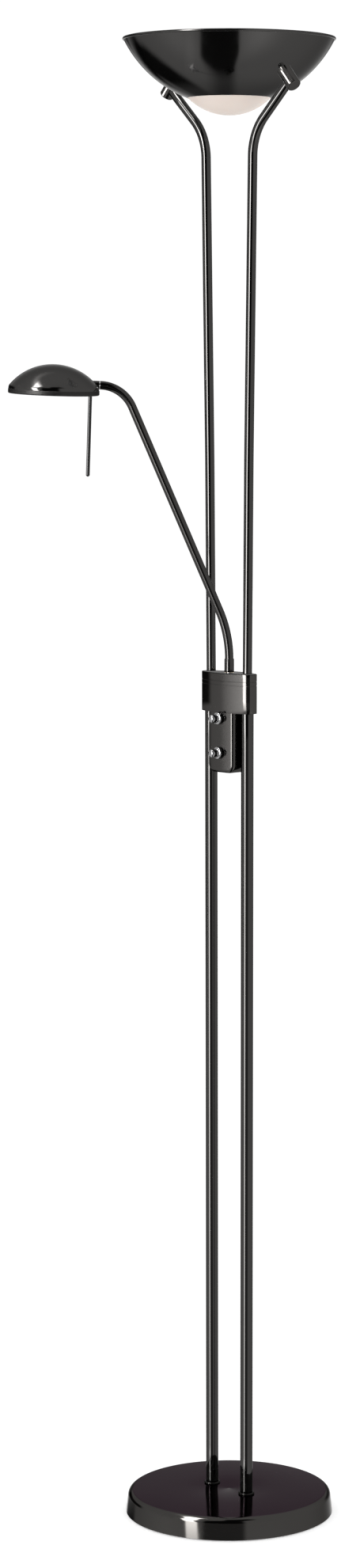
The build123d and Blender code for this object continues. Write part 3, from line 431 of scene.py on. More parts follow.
M_IRON = solid("painted_casting", (0.030, 0.030, 0.031), (0.048, 0.047, 0.046), 0.45, 0.62, 260.0, 0.5, 0.0006)
M_FELT = solid("pressed_felt", (0.020, 0.020, 0.021), (0.040, 0.040, 0.041), 0.86, 0.98, 1500.0, 0.9, 0.0005, 0.15)
M_RUBBER = solid("moulded_rubber", (0.016, 0.016, 0.016), (0.026, 0.026, 0.026), 0.50, 0.66, 900.0, 0.2)
M_BLACKPL = solid("black_plastic", (0.022, 0.022, 0.023), (0.034, 0.034, 0.035), 0.36, 0.50, 1200.0, 0.2)
M_NYLON = solid("white_nylon", (0.66, 0.65, 0.60), (0.76, 0.75, 0.70), 0.34, 0.48, 900.0, 0.12)
M_CERAMIC = solid("steatite", (0.72, 0.70, 0.64), (0.80, 0.78, 0.73), 0.42, 0.62, 1300.0, 0.35)
M_LEAD = solid("lead_sheath", (0.60, 0.60, 0.57), (0.70, 0.70, 0.67), 0.40, 0.55, 700.0, 0.2)


def board_material():
    mt, N, b = material("circuit_board")
    t = N.new("ShaderNodeTexCoord")
    cells = N.new("ShaderNodeTexVoronoi", feature="F1", distance="MANHATTAN")
    N.put(cells.inputs["Vector"], t.outputs["Object"])
    cells.inputs["Scale"].default_value = 330.0
    track = N.ramp(cells.outputs["Distance"], 0.24, 0.30, 1.0, 0.0)
    N.put(b.inputs["Base Color"], N.mixc(track, (0.015, 0.10, 0.035, 1), (0.05, 0.22, 0.07, 1)))
    N.put(b.inputs["Roughness"], N.ramp(track, 0.0, 1.0, 0.42, 0.28))
    bump(N, b, track, 0.4, 0.0001)
    return mt


M_BOARD = board_material()


def frosted():
    mt, N, b = material("frosted_glass")
    t = N.new("ShaderNodeTexCoord")
    fine = N.noise(t.outputs["Object"], 2600.0, 3.0, 0.6)
    slow = N.noise(t.outputs["Object"], 22.0, 3.0, 0.5)
    N.put(b.inputs["Base Color"], N.mixc(slow, (0.700, 0.617, 0.560, 1), (0.730, 0.650, 0.592, 1)))
    N.put(b.inputs["Roughness"], N.ramp(fine, 0.3, 0.7, 0.34, 0.46))
    b.inputs["Subsurface Weight"].default_value = 0.35
    b.inputs["Subsurface Radius"].default_value = (0.004, 0.003, 0.0025)
    b.inputs["Subsurface Scale"].default_value = 1.0
    bump(N, b, fine, 0.15, 0.00006)
    return mt


M_FROST = frosted()


def clear(name, tone, r0, r1):
    mt, N, b = material(name)
    t = N.new("ShaderNodeTexCoord")
    fine = N.noise(t.outputs["Object"], 60.0, 4.0, 0.6)
    N.put(b.inputs["Base Color"], N.mixc(fine, (*tone, 1), (min(1, tone[0] + 0.02), min(1, tone[1] + 0.02), min(1, tone[2] + 0.02), 1)))
    b.inputs["Transmission Weight"].default_value = 1.0
    b.inputs["IOR"].default_value = 1.47
    N.put(b.inputs["Roughness"], N.ramp(fine, 0.3, 0.7, r0, r1))
    return mt


M_CLEAR = clear("clear_glass", (0.955, 0.975, 0.97), 0.0, 0.03)
M_QUARTZ = clear("quartz_glass", (0.97, 0.975, 0.98), 0.0, 0.05)
M_FRONTGL = clear("satin_glass", (0.93, 0.94, 0.93), 0.18, 0.30)


def reflector_material():
    mt, N, b = material("peened_aluminium")
    t = N.new("ShaderNodeTexCoord")
    cells = N.new("ShaderNodeTexVoronoi", feature="SMOOTH_F1")
    N.put(cells.inputs["Vector"], t.outputs["Object"])
    cells.inputs["Scale"].default_value = 430.0
    fine = N.noise(t.outputs["Object"], 1500.0, 3.0)
    N.put(b.inputs["Base Color"], N.mixc(fine, (0.76, 0.76, 0.77, 1), (0.86, 0.86, 0.86, 1)))
    b.inputs["Metallic"].default_value = 1.0
    N.put(b.inputs["Roughness"], N.ramp(fine, 0.3, 0.7, 0.14, 0.26))
    bump(N, b, cells.outputs["Distance"], 0.5, 0.0006)
    return mt


M_REFL = reflector_material()

BY_SLOT = {
    "black_chrome": M_PLAIN, "bright_chrome": M_CHROME, "cast_iron": M_IRON, "felt": M_FELT, "rubber": M_RUBBER,
    "zinc_steel": M_ZINC, "brass": M_BRASS, "shaft_steel": M_STEEL, "black_plastic": M_BLACKPL, "white_plastic": M_NYLON,
    "circuit_board": M_BOARD, "ceramic": M_CERAMIC, "frosted_glass": M_FROST, "clear_glass": M_CLEAR,
    "reflector_aluminium": M_REFL, "lead_sheath": M_LEAD}
SLOT_OF = {s["node"]: s["material_slot"] for s in frame["record"]["subparts"]}
SPECIAL = {"halogen_tube": M_QUARTZ, "head_lamp": M_QUARTZ, "head_front_glass": M_FRONTGL}
for name, ob in NODES.items():
    mt = SPECIAL.get(name, BY_SLOT[SLOT_OF[name]])
    ob.data.materials.clear()
    ob.data.materials.append(mt)


# ---------------------------------------------------------------- mesh helpers (lengths in mm)
def sampled(path, step=2.0):
    """Points of a profile given as a start point, ('l', end) and ('a', point on the arc, end)."""
    out = [Vector(path[0])]
    for seg in path[1:]:
        p = out[-1]
        if seg[0] == "l":
            q = Vector(seg[1])
            if (q - p).length > 1e-6:
                out.append(q)
            continue
        m, q = Vector(seg[1]), Vector(seg[2])
        ax, ay, bx, by, cx_, cy_ = p.x, p.y, m.x, m.y, q.x, q.y
        dd = 2 * (ax * (by - cy_) + bx * (cy_ - ay) + cx_ * (ay - by))
        ux = ((ax * ax + ay * ay) * (by - cy_) + (bx * bx + by * by) * (cy_ - ay) + (cx_ * cx_ + cy_ * cy_) * (ay - by)) / dd
        uy = ((ax * ax + ay * ay) * (cx_ - bx) + (bx * bx + by * by) * (ax - cx_) + (cx_ * cx_ + cy_ * cy_) * (bx - ax)) / dd
        c = Vector((ux, uy))
        r = (p - c).length
        a0 = math.atan2(p.y - uy, p.x - ux)
        am = math.atan2(m.y - uy, m.x - ux)
        a1 = math.atan2(q.y - uy, q.x - ux)
        def turn(x):
            return (x + math.pi) % (2 * math.pi) - math.pi
        d1, d2 = turn(am - a0), turn(a1 - am)
        if d1 * d2 < 0:
            total = turn(a1 - a0)
        else:
            total = d1 + d2
        n = max(2, int(math.ceil(abs(math.degrees(total)) / step)))
        for i in range(1, n + 1):
            a = a0 + total * i / n
            out.append(Vector((ux + r * math.cos(a), uy + r * math.sin(a))))
    return out


def eased(pts, r, closed=False, least=24.0, n=3):
    """Small rounding of every corner of a profile that turns by more than least degrees."""
    out = []
    k = len(pts)
    for i, p in enumerate(pts):
        if not closed and i in (0, k - 1):
            out.append(p)
            continue
        a, b = pts[i - 1], pts[(i + 1) % k]
        v1, v2 = p - a, b - p
        if v1.length < 1e-6 or v2.length < 1e-6:
            continue
        ang = v1.angle(v2)
        if math.degrees(ang) < least:
            out.append(p)
            continue
        t = min(r * math.tan(ang / 2), v1.length * 0.45, v2.length * 0.45)
        s, e = p - v1.normalized() * t, p + v2.normalized() * t
        for j in range(n + 1):
            f = j / n
            out.append(s * (1 - f) ** 2 + p * 2 * f * (1 - f) + e * f * f)
    return out


def finish_mesh(bm_, name, sharp=32.0):
    bmesh.ops.remove_doubles(bm_, verts=bm_.verts, dist=1e-7)
    bmesh.ops.recalc_face_normals(bm_, faces=bm_.faces)
    lim = math.radians(sharp)
    for e in bm_.edges:
        e.smooth = not (len(e.link_faces) != 2 or e.calc_face_angle(0.0) > lim)
    for f in bm_.faces:
        f.smooth = True
    me = bpy.data.meshes.new(name)
    bm_.to_mesh(me)
    bm_.free()
    return me


def lathe(pts, closed=True, seg=192, place=None):
    """Turned mesh about Z from a profile of (r, z) points; a 'grain' map runs round (u) and along the profile (v)."""
    b = bmesh.new()
    uv = b.loops.layers.uv.new("grain")
    rows, run, s = [], [], 0.0
    for i, p in enumerate(pts):
        if i:
            s += (p - pts[i - 1]).length
        run.append(s * MM)
        if p.x < 1e-6:
            rows.append([b.verts.new((0, 0, p.y * MM))])
        else:
            rows.append([b.verts.new((p.x * MM * math.cos(2 * math.pi * j / seg), p.x * MM * math.sin(2 * math.pi * j / seg), p.y * MM)) for j in range(seg)])
    rref = max(p.x for p in pts) * MM
    last = len(pts) if closed else len(pts) - 1
    for i in range(last):
        i2 = (i + 1) % len(pts)
        v0, v1 = run[i], run[i2] if i2 else run[i] + (pts[0] - pts[-1]).length * MM
        for j in range(seg):
            j2 = (j + 1) % seg
            u0, u1 = rref * 2 * math.pi * j / seg, rref * 2 * math.pi * (j + 1) / seg
            A_, B_ = rows[i], rows[i2]
            if len(A_) == 1 and len(B_) == 1:
                continue
            if len(A_) == 1:
                vs, uvs = [A_[0], B_[j], B_[j2]], [((u0 + u1) / 2, v0), (u0, v1), (u1, v1)]
            elif len(B_) == 1:
                vs, uvs = [A_[j], B_[0], A_[j2]], [(u0, v0), ((u0 + u1) / 2, v1), (u1, v0)]
            else:
                vs, uvs = [A_[j], B_[j], B_[j2], A_[j2]], [(u0, v0), (u0, v1), (u1, v1), (u1, v0)]
            f = b.faces.new(vs)
            for lp_, q in zip(f.loops, uvs):
                lp_[uv].uv = q
    if place is not None:
        bmesh.ops.transform(b, matrix=place, verts=b.verts)
    return b


def swept(path, ro, ri=0.0, seg=48, ease=0.25):
    """Tube along 3-D points in mm, with eased ends and an inner wall where ri is given."""
    b = bmesh.new()
    uv = b.loops.layers.uv.new("grain")
    pts = [Vector(p) for p in path]
    tans = []
    for i in range(len(pts)):
        a, c = pts[max(0, i - 1)], pts[min(len(pts) - 1, i + 1)]
        tans.append((c - a).normalized())
    ref = Vector((0, 1, 0)) if abs(tans[0].y) < 0.9 else Vector((1, 0, 0))
    n0 = (ref - tans[0] * ref.dot(tans[0])).normalized()
    frames = [n0]
    for i in range(1, len(pts)):
        q = tans[i - 1].rotation_difference(tans[i])
        n = q @ frames[-1]
        frames.append((n - tans[i] * n.dot(tans[i])).normalized())
    # (radius, point, frame, tangent, offset along the tangent)
    rings = []
    last = len(pts) - 1
    if ri > 0:
        rings.append((ri, 0, 0.0))
    else:
        rings.append((0.0, 0, 0.0))
    rings += [(ro - ease, 0, 0.0), (ro - ease * 0.3, 0, ease * 0.3), (ro, 0, ease)]
    rings += [(ro, i, 0.0) for i in range(1, last)]
    rings += [(ro, last, -ease), (ro - ease * 0.3, last, -ease * 0.3), (ro - ease, last, 0.0)]
    if ri > 0:
        rings.append((ri, last, 0.0))
        rings += [(ri, i, 0.0) for i in range(last - 1, 0, -1)]
    else:
        rings.append((0.0, last, 0.0))
    rows, run, s, prev = [], [], 0.0, None
    for r, i, o in rings:
        c = pts[i] + tans[i] * o
        n, t = frames[i], tans[i]
        m = t.cross(n)
        if prev is not None:
            s += max((c - prev[0]).length, abs(r - prev[1]))
        prev = (c, r)
        run.append(s * MM)
        if r < 1e-6:
            rows.append([b.verts.new(c * MM)])
        else:
            rows.append([b.verts.new((c + (n * math.cos(2 * math.pi * j / seg) + m * math.sin(2 * math.pi * j / seg)) * r) * MM) for j in range(seg)])
    count = len(rows) if ri > 0 else len(rows) - 1
    for i in range(count):
        i2 = (i + 1) % len(rows)
        A_, B_ = rows[i], rows[i2]
        v0, v1 = run[i], run[i2] if i2 else run[i] + 0.002
        for j in range(seg):
            j2 = (j + 1) % seg
            u0, u1 = 2 * math.pi * ro * MM * j / seg, 2 * math.pi * ro * MM * (j + 1) / seg
            if len(A_) == 1:
                vs, uvs = [A_[0], B_[j], B_[j2]], [(u0, v0), (u0, v1), (u1, v1)]
            elif len(B_) == 1:
                vs, uvs = [A_[j], B_[0], A_[j2]], [(u0, v0), (u0, v1), (u1, v0)]
            else:
                vs, uvs = [A_[j], B_[j], B_[j2], A_[j2]], [(u0, v0), (u0, v1), (u1, v1), (u1, v0)]
            f = b.faces.new(vs)
            for lp_, q in zip(f.loops, uvs):
                lp_[uv].uv = q
    return b


def rounded_path(points, radii, step=2.0, long_step=40.0):
    """Polyline through points whose inner corners are rounded with the given radii."""
    P = [Vector(p) for p in points]
    out = [P[0]]
    for i in range(1, len(P) - 1):
        v1, v2 = (P[i] - P[i - 1]).normalized(), (P[i + 1] - P[i]).normalized()
        th = v1.angle(v2)
        R = radii[i - 1]
        t = R * math.tan(th / 2)
        s, e = P[i] - v1 * t, P[i] + v2 * t
        c = P[i] + (v2 - v1).normalized() * (R / math.cos(th / 2))
        a, z = (s - c), (e - c)
        axis = a.cross(z).normalized()
        n = max(2, int(math.ceil(math.degrees(th) / step)))
        run = (s - out[-1]).length
        k = int(run // long_step)
        base = out[-1].copy()
        for j in range(1, k + 1):
            out.append(base + (s - base) * (j / (k + 1)))
        for j in range(n + 1):
            out.append(c + Matrix.Rotation(th * j / n, 3, axis) @ a)
    base = out[-1].copy()
    run = (P[-1] - base).length
    k = int(run // long_step)
    for j in range(1, k + 1):
        out.append(base + (P[-1] - base) * (j / (k + 1)))
    out.append(P[-1])
    return out


def piece(name, b, mat, body, nodes=(), sharp=32.0):
    ob = bpy.data.objects.new(name, finish_mesh(b, name, sharp))
    scene.collection.objects.link(ob)
    ob.data.materials.append(mat)
    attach(ob, body)
    if nodes:
        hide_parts(*nodes)
    return ob


# ---------------------------------------------------------------- base cover
BASE_H, COVER_T = 28.0, 1.2
prof = sampled([
    (127.9, 1.0), ("l", (125.5, 20.6)), ("a", (123.0, 26.1), (118.4, 28.0)), ("l", (60.0, 28.0)), ("l", (0.0, 28.0))], 3.0)
prof_in = sampled([(0.0, 26.8), ("l", (118.2, 26.8)), ("a", (122.1, 25.15), (124.3, 20.4)), ("l", (126.7, 1.0))], 5.0)
base_ob = piece("base_cover_skin", lathe(eased(prof + prof_in, 0.3, True), True, 320), M_BASE, "stand", ["base_cover"])
# painted sheen: the top faces of the base cover take the purple-tinted copy
base_ob.data.materials.append(M_BASE_TOP_SHEEN)
for f in base_ob.data.polygons:
    if f.center.z > (BASE_H - 0.4) * MM:
        f.material_index = 1

# ---------------------------------------------------------------- bowl
BOWL_R, BOWL_C, BOWL_T, BEAD = 140.7, 1860.5, 1.2, 1.6
Ri = BOWL_R - BOWL_T


def sph(R, r):
    return (r, BOWL_C - math.sqrt(R * R - r * r))


Rm = BOWL_R - BOWL_T / 2
bz = 1800.0 - BEAD
br = math.sqrt(Rm ** 2 - (BOWL_C - bz) ** 2)
nx, nz = br / Rm, (bz - BOWL_C) / Rm
ux_, uz_ = -nz, nx
tb = math.sqrt(BEAD ** 2 - (BOWL_T / 2) ** 2)
ro_ = (br + nx * BOWL_T / 2 - ux_ * tb, bz + nz * BOWL_T / 2 - uz_ * tb)
ri_ = (br - nx * BOWL_T / 2 - ux_ * tb, bz - nz * BOWL_T / 2 - uz_ * tb)
top_ = (br + ux_ * BEAD, bz + uz_ * BEAD)
op, oi = sph(BOWL_R, 50.0), sph(Ri, 50.0)
bowl_prof = sampled([op, ("a", sph(BOWL_R, 95.0), ro_)], 0.8) + sampled([ro_, ("a", top_, ri_)], 12.0)[1:] + \
    sampled([ri_, ("a", sph(Ri, 94.0), oi)], 1.2)[1:] + sampled([oi, ("a", (49.7, (op[1] + oi[1]) / 2), op)], 40.0)[1:-1]
bowl_ob = piece("bowl_skin", lathe(bowl_prof, True, 320), M_TURNED, "stand", ["bowl_shell"])

GL_R, GL_BOT, G_T = 69.3, 1708.5, 2.6
gc = GL_BOT + GL_R


def gz(r, R):
    return gc - math.sqrt(R * R - r * r)


gl = sampled([
    (0, GL_BOT), ("a", (28.0, gz(28.0, GL_R)), (49.55, gz(49.55, GL_R))), ("l", (49.55, 1732.0)), ("l", (53.2, 1732.2)),
    ("l", (53.2, 1734.2)), ("l", (46.6, 1734.2)), ("l", (46.6, gz(46.6, GL_R - G_T))),
    ("a", (25.0, gz(25.0, GL_R - G_T)), (0, GL_BOT + G_T))], 1.6)
dome_ob = piece("frosted_dome", lathe(eased(gl, 0.5), False, 224), M_FROST, "stand", ["glass_dome"])

# ---------------------------------------------------------------- poles and rods
TUBES = []
for name, sx in (("lower_tube_left", -1), ("lower_tube_right", 1)):
    p, q = Vector((sx * 31.4, 0, 26.82)), Vector((sx * 32.6, 0, 1004.0))
    pts = [p + (q - p) * (i / 24) for i in range(25)]
    TUBES.append(piece(name + "_skin", swept(pts, 7.65, 6.45, 64), M_TUBE, "stand", [name]))

KN_SIN, KN_COS = 0.677, 0.73599
n_r = Vector((KN_SIN, 0, -KN_COS))
d_r = Vector((KN_COS, 0, KN_SIN))
contact = Vector((0, 0, BOWL_C)) + n_r * BOWL_R
rod_target = contact + n_r * 16.0
v_low, v_mid, v_top = Vector((32.3, 0, 1013.2)), Vector((35.0, 0, 1300.0)), Vector((41.33, 0, 1662.0))
lean = (v_top - v_mid).normalized()
det = lean.x * (-d_r.z) + d_r.x * lean.z
rx, rz = rod_target.x - v_top.x, rod_target.z - v_top.z
corner = v_top + lean * ((rx * (-d_r.z) + d_r.x * rz) / det)
rod_end = rod_target - d_r * 2.9
RODS = []
for name, sx in (("upper_rod_left", -1), ("upper_rod_right", 1)):
    pts = rounded_path([(sx * v.x, 0, v.z) for v in (v_low, v_mid, corner, rod_end)], [5000.0, 62.0], 1.5)
    RODS.append(piece(name + "_skin", swept(pts, 5.7, 4.5, 64), M_TUBE, "stand", [name]))

lead_low = Vector((v_low.x - (v_low.z - 1008.4) * (v_mid.x - v_low.x) / (v_mid.z - v_low.z), 0, 1008.4))
lead_path = rounded_path([(14.0, 0, 1008.4), lead_low, v_mid, corner, rod_target, contact - n_r * 22.0, (71.3, 0, 1767.0)], [5.2, 5000.0, 62.0, 6.0, 8.0], 6.0)
lead_ob = piece("bowl_lead_skin", swept(lead_path, 2.2, 0.0, 24, 0.1), M_LEAD, "stand", ["bowl_lead"])

# ---------------------------------------------------------------- arm
VIEW_A = math.radians(47.77)
ARM_D = Vector((-math.cos(VIEW_A), -math.sin(VIEW_A), 0))
sl = math.tan(math.radians(23.115))
TIP_U, TIP_Z, RISE = 155.0, 1388.7, math.radians(2.0)
tr = math.tan(RISE)
zc = (TIP_Z - (TIP_U + 1089.6 * sl) * tr) / (1 - sl * tr)
uc = (zc - 1089.6) * sl


def arm_pt(u, z):
    return Vector((ARM_D.x * u, ARM_D.y * u, z))


arm_path = rounded_path([arm_pt(0, 1046.0), arm_pt(0, 1089.6), arm_pt(uc, zc), arm_pt(TIP_U, TIP_Z)], [150.0, 43.0], 1.5, 20.0)
arm_tube_ob = piece("arm_tube_skin", swept(arm_path, 5.2, 4.05, 64), M_SATIN, "arm", ["arm_tube"])

# ---------------------------------------------------------------- reading head
TX = Vector((ARM_D.x * math.cos(RISE), ARM_D.y * math.cos(RISE), math.sin(RISE)))
TZU = Vector((-ARM_D.x * math.sin(RISE), -ARM_D.y * math.sin(RISE), math.cos(RISE)))
TYU = TZU.cross(TX)
LEAN = math.radians(2.0)
TZ = TZU * math.cos(LEAN) + TYU * math.sin(LEAN)
TY = TZ.cross(TX)
A3 = arm_pt(TIP_U, TIP_Z) * MM
HEAD = Matrix(((TX.x, TY.x, TZ.x, A3.x), (TX.y, TY.y, TZ.y, A3.y), (TX.z, TY.z, TZ.z, A3.z), (0, 0, 0, 1)))
HEAD_CX, HEAD_Z0, DOME_R, DOME_H, SHADE_T = 55.6, -12.6, 68.5, 35.9, 1.0


def head_at(x=0.0, y=0.0, z=0.0):
    return HEAD @ Matrix.Translation(Vector((x, y, z)) * MM)


def hp(r, h):
    return (r, HEAD_Z0 + h)


oc = DOME_H - DOME_R
rs, rin, r_mid = 54.1, 52.9, 30.0
ho = oc + math.sqrt(DOME_R ** 2 - rs ** 2)
hi_ = oc + math.sqrt((DOME_R - SHADE_T) ** 2 - rin ** 2)
shade = sampled([
    hp(0, DOME_H), ("a", hp(r_mid, oc + math.sqrt(DOME_R ** 2 - r_mid ** 2)), hp(rs, ho)),
    ("a", hp(54.52, 7.7), hp(54.62, 5.6)), ("l", hp(55.0, 5.3)), ("l", hp(55.05, 1.5)),
    ("a", hp(54.6, 0.4), hp(53.6, 0.0)), ("l", hp(52.9, 0.0)), ("a", hp(52.5, 0.45), hp(52.9, 0.9)), ("l", hp(53.6, 1.2)), ("l", hp(53.62, 5.6)),
    ("a", hp(53.35, 7.4), hp(rin, hi_)),
    ("a", hp(r_mid, oc + math.sqrt((DOME_R - SHADE_T) ** 2 - r_mid ** 2)), hp(0, DOME_H - SHADE_T))], 1.5)
M_HEAD = plated("black_chrome_head", BC_D, BC_L, 0.09, 0.15, "map", (60.0, 2400.0, 1.0), 0.08)
shade_ob = piece("reading_shade_skin", lathe(eased(shade, 0.15), False, 256, head_at(HEAD_CX)), M_HEAD, "head", ["head_shade"])

# painted shade: the lip band of the reading shade takes the darker copy
shade_ob.data.materials.append(M_LIP_SHADE)
to_head = HEAD.inverted()
for f in shade_ob.data.polygons:
    c = (to_head @ f.center) / MM
    if c.z < HEAD_Z0 + 5.75 and Vector((c.x - HEAD_CX, c.y)).length > 54.0:
        f.material_index = 1

# ---------------------------------------------------------------- knuckles, foot rings, ferrule, socket, handle
KNUCKLES = []
for name, sx in (("knuckle_left", -1), ("knuckle_right", 1)):
    n = Vector((sx * KN_SIN, 0, -KN_COS))
    c = Vector((0, 0, BOWL_C)) + n * BOWL_R
    xa = Vector((0, 1, 0))
    ya = n.cross(xa)
    M = Matrix(((xa.x, ya.x, n.x, c.x * MM), (xa.y, ya.y, n.y, c.y * MM), (xa.z, ya.z, n.z, c.z * MM), (0, 0, 0, 1)))
    h_at = lambda r: math.sqrt(BOWL_R ** 2 - r * r) - BOWL_R + 0.06
    kp = sampled([(4.02, h_at(4.02)), ("l", (8.25, h_at(8.25))), ("a", (8.45, h_at(8.45) + 0.12), (8.5, h_at(8.5) + 0.4)), ("l", (8.5, 9.0)), ("l", (8.5, 18.0)), ("l", (8.5, 25.4)),
                  ("a", (8.03, 26.53), (6.9, 27.0)), ("l", (0.0, 27.0))], 8.0)
    inner = [Vector((0.0, 19.2)), Vector((3.2, 19.2)), Vector((3.2, 10.6)), Vector((4.02, 10.6))]
    KNUCKLES.append(piece(name + "_skin", lathe(kp + inner, True, 128, M), M_CAST, "stand", [name]))

rings_b = bmesh.new()
for sx in (-1, 1):
    rp = sampled([(7.7, 28.02), ("l", (9.8, 28.02)), ("l", (9.9, 28.15)), ("l", (9.9, 29.3)), ("a", (9.6, 30.0), (8.9, 30.3)), ("l", (7.7, 30.3))], 10.0)
    one_ring = lathe(eased(rp, 0.12, True), True, 96, Matrix.Translation((sx * 31.4 * MM, 0, 0)))
    tmp = bpy.data.meshes.new("ring_tmp")
    one_ring.to_mesh(tmp)
    one_ring.free()
    rings_b.from_mesh(tmp)
    bpy.data.meshes.remove(tmp)
# painted shade: the pole foot rings take the darker copy of the black chrome
piece("pole_foot_rings_skin", rings_b, M_RING_SHADE, "stand", ["pole_foot_rings"])

fer = sampled([(4.03, 1043.25), ("l", (5.7, 1043.25)), ("l", (5.95, 1043.5)), ("l", (5.95, 1046.0)), ("l", (5.95, 1055.0)), ("l", (5.95, 1058.6)), ("a", (5.86, 1059.2), (5.5, 1059.5)),
               ("l", (5.22, 1059.5)), ("l", (5.22, 1046.0)), ("l", (4.03, 1046.0))], 10.0)
ferrule_ob = piece("arm_ferrule_skin", lathe(eased(fer, 0.1, True), True, 96), M_SATIN, "arm", ["arm_ferrule"])

# turned pieces of the head lie along its x axis
ALONG = HEAD @ Matrix(((0, 0, 1, 0), (0, 1, 0, 0), (-1, 0, 0, 0), (0, 0, 0, 1)))
soc = sampled([(3.56, 0.95), ("l", (4.95, 0.95)), ("l", (5.2, 1.2)), ("l", (5.2, 8.0)), ("l", (5.2, 17.2)), ("l", (5.0, 17.4)), ("l", (3.56, 17.4))], 10.0)
socket_ob = piece("head_socket_skin", lathe(eased(soc, 0.08, True), True, 96, ALONG), M_SATIN, "head", ["head_socket"])
HZ0 = HEAD_Z0 - 97.5
hnd = sampled([(0, HZ0), ("a", (1.6, HZ0 + 0.6), (2.35, HZ0 + 2.2)), ("l", (2.35, -90.0)), ("l", (2.35, -60.0)), ("l", (2.35, -30.0)), ("l", (2.35, -6.2)), ("l", (2.2, -4.95)), ("l", (0, -4.95))], 6.0)
handle_ob = piece("handle_rod_skin", lathe(hnd, False, 64, head_at(11.7)), M_HANDLE, "head", ["handle_rod"])

# ---------------------------------------------------------------- collar and control housing
END_R, TURN_R = 10.0, 30.0


def facing(deg):
    return Vector((math.sin(math.radians(deg)), -math.cos(math.radians(deg))))


END_C = Vector((44.8 - END_R, 0))
TURN_C = END_C + facing(30) * (END_R - TURN_R)
turn_p = TURN_C + facing(20) * TURN_R
FACE_R = turn_p.x / math.sin(math.radians(20))
FACE_C = turn_p - facing(20) * FACE_R
COL_FRONT = FACE_R - FACE_C.y
quarter = [(FACE_C, FACE_R, a) for a in range(0, 20)] + [(TURN_C, TURN_R, a) for a in range(20, 30)] + [(END_C, END_R, a) for a in range(30, 91, 3)]


def collar_loop(off=0.0):
    q = [c + facing(a) * (r + off) for c, r, a in quarter]
    out = q[:] + [Vector((v.x, -v.y)) for v in reversed(q[:-1])]
    out += [Vector((-v.x, -v.y)) for v in q[1:]] + [Vector((-v.x, v.y)) for v in reversed(q[1:-1])]
    return out


def circle_loop(x, y, r, n=64):
    return [Vector((x + r * math.cos(2 * math.pi * i / n), y + r * math.sin(2 * math.pi * i / n))) for i in range(n)]


def prism(b, rings, top_holes=(), low_holes=()):
    """Closed body from stacked outlines [(loop, z)], with blind holes [(loop, z of the hole's end)] in both ends."""
    uv = b.loops.layers.uv.verify()
    rows = [[b.verts.new((v.x * MM, v.y * MM, z * MM)) for v in loop] for loop, z in rings]
    n = len(rows[0])
    run = [0.0]
    for i in range(n):
        run.append(run[-1] + (rows[0][(i + 1) % n].co - rows[0][i].co).length)
    made = []
    for i in range(len(rows) - 1):
        for j in range(n):
            f = b.faces.new([rows[i][j], rows[i][(j + 1) % n], rows[i + 1][(j + 1) % n], rows[i + 1][j]])
            z0, z1 = rings[i][1] * MM, rings[i + 1][1] * MM
            for lp_, q in zip(f.loops, [(run[j], z0), (run[j + 1], z0), (run[j + 1], z1), (run[j], z1)]):
                lp_[uv].uv = q
            made.append(f)
    for row, z, holes in ((rows[-1], rings[-1][1], top_holes), (rows[0], rings[0][1], low_holes)):
        loops = [row]
        for loop, z_end in holes:
            a = [b.verts.new((v.x * MM, v.y * MM, z * MM)) for v in loop]
            e = [b.verts.new((v.x * MM, v.y * MM, z_end * MM)) for v in loop]
            m_ = len(a)
            for j in range(m_):
                made.append(b.faces.new([a[j], e[j], e[(j + 1) % m_], a[(j + 1) % m_]]))
            made.append(b.faces.new(e))
            loops.append(a)
        edges = []
        for lo in loops:
            for j in range(len(lo)):
                pair = (lo[j], lo[(j + 1) % len(lo)])
                edges.append(b.edges.get(pair) or b.edges.new(pair))
        got = bmesh.ops.triangle_fill(b, use_beauty=True, use_dissolve=False, edges=edges)
        for f in got["geom"]:
            if isinstance(f, bmesh.types.BMFace):
                for lp_ in f.loops:
                    lp_[uv].uv = (lp_.vert.co.x, lp_.vert.co.y)
    return b


b = bmesh.new()
b.loops.layers.uv.new("grain")
cap_rings = [(collar_loop(-0.45), 1033.22), (collar_loop(-0.45), 1033.70), (collar_loop(-0.12), 1033.74), (collar_loop(0), 1033.88), (collar_loop(0), 1038.0), (collar_loop(0), 1042.1)]
for k in range(1, 7):
    t = math.radians(15 * k)
    cap_rings.append((collar_loop(-0.9 * (1 - math.cos(t))), 1042.1 + 0.9 * math.sin(t)))
prism(b, cap_rings, [(circle_loop(sx * 32.57, 0, 5.85), 1033.9) for sx in (-1, 1)] + [(circle_loop(0, 0, 6.0), 1033.9)])
cap_ob = piece("collar_cap_skin", b, M_CAST, "stand", ["collar_cap"], 24.0)
# painted shade: the cap's rounded top edge takes the darker copy, dulling its highlight
cap_ob.data.materials.append(M_RING_SHADE)
for f in cap_ob.data.polygons:
    if f.center.z > 1042.2 * MM:
        f.material_index = 1

b = bmesh.new()
b.loops.layers.uv.new("grain")
col_rings = [(collar_loop(-0.3), 995.0), (collar_loop(-0.08), 995.08), (collar_loop(0), 995.3), (collar_loop(0), 1010.0), (collar_loop(0), 1028.22), (collar_loop(-0.12), 1028.36),
             (collar_loop(-0.45), 1028.40), (collar_loop(-0.45), 1028.95), (collar_loop(-0.12), 1028.99), (collar_loop(0), 1029.13), (collar_loop(0), 1033.0), (collar_loop(-0.15), 1033.15), (collar_loop(-0.4), 1033.2)]
rect = [Vector(v) for v in ((-19.8, -11.6), (19.8, -11.6), (19.8, 9.0), (-19.8, 9.0))]
prism(b, col_rings, [(circle_loop(sx * 32.5, 0, 5.8), 1013.1) for sx in (-1, 1)] + [(circle_loop(0, 0, 6.0), 1021.1)],
      [(circle_loop(sx * 32.6, 0, 7.75), 1004.0) for sx in (-1, 1)] + [(rect, 1021.0)])
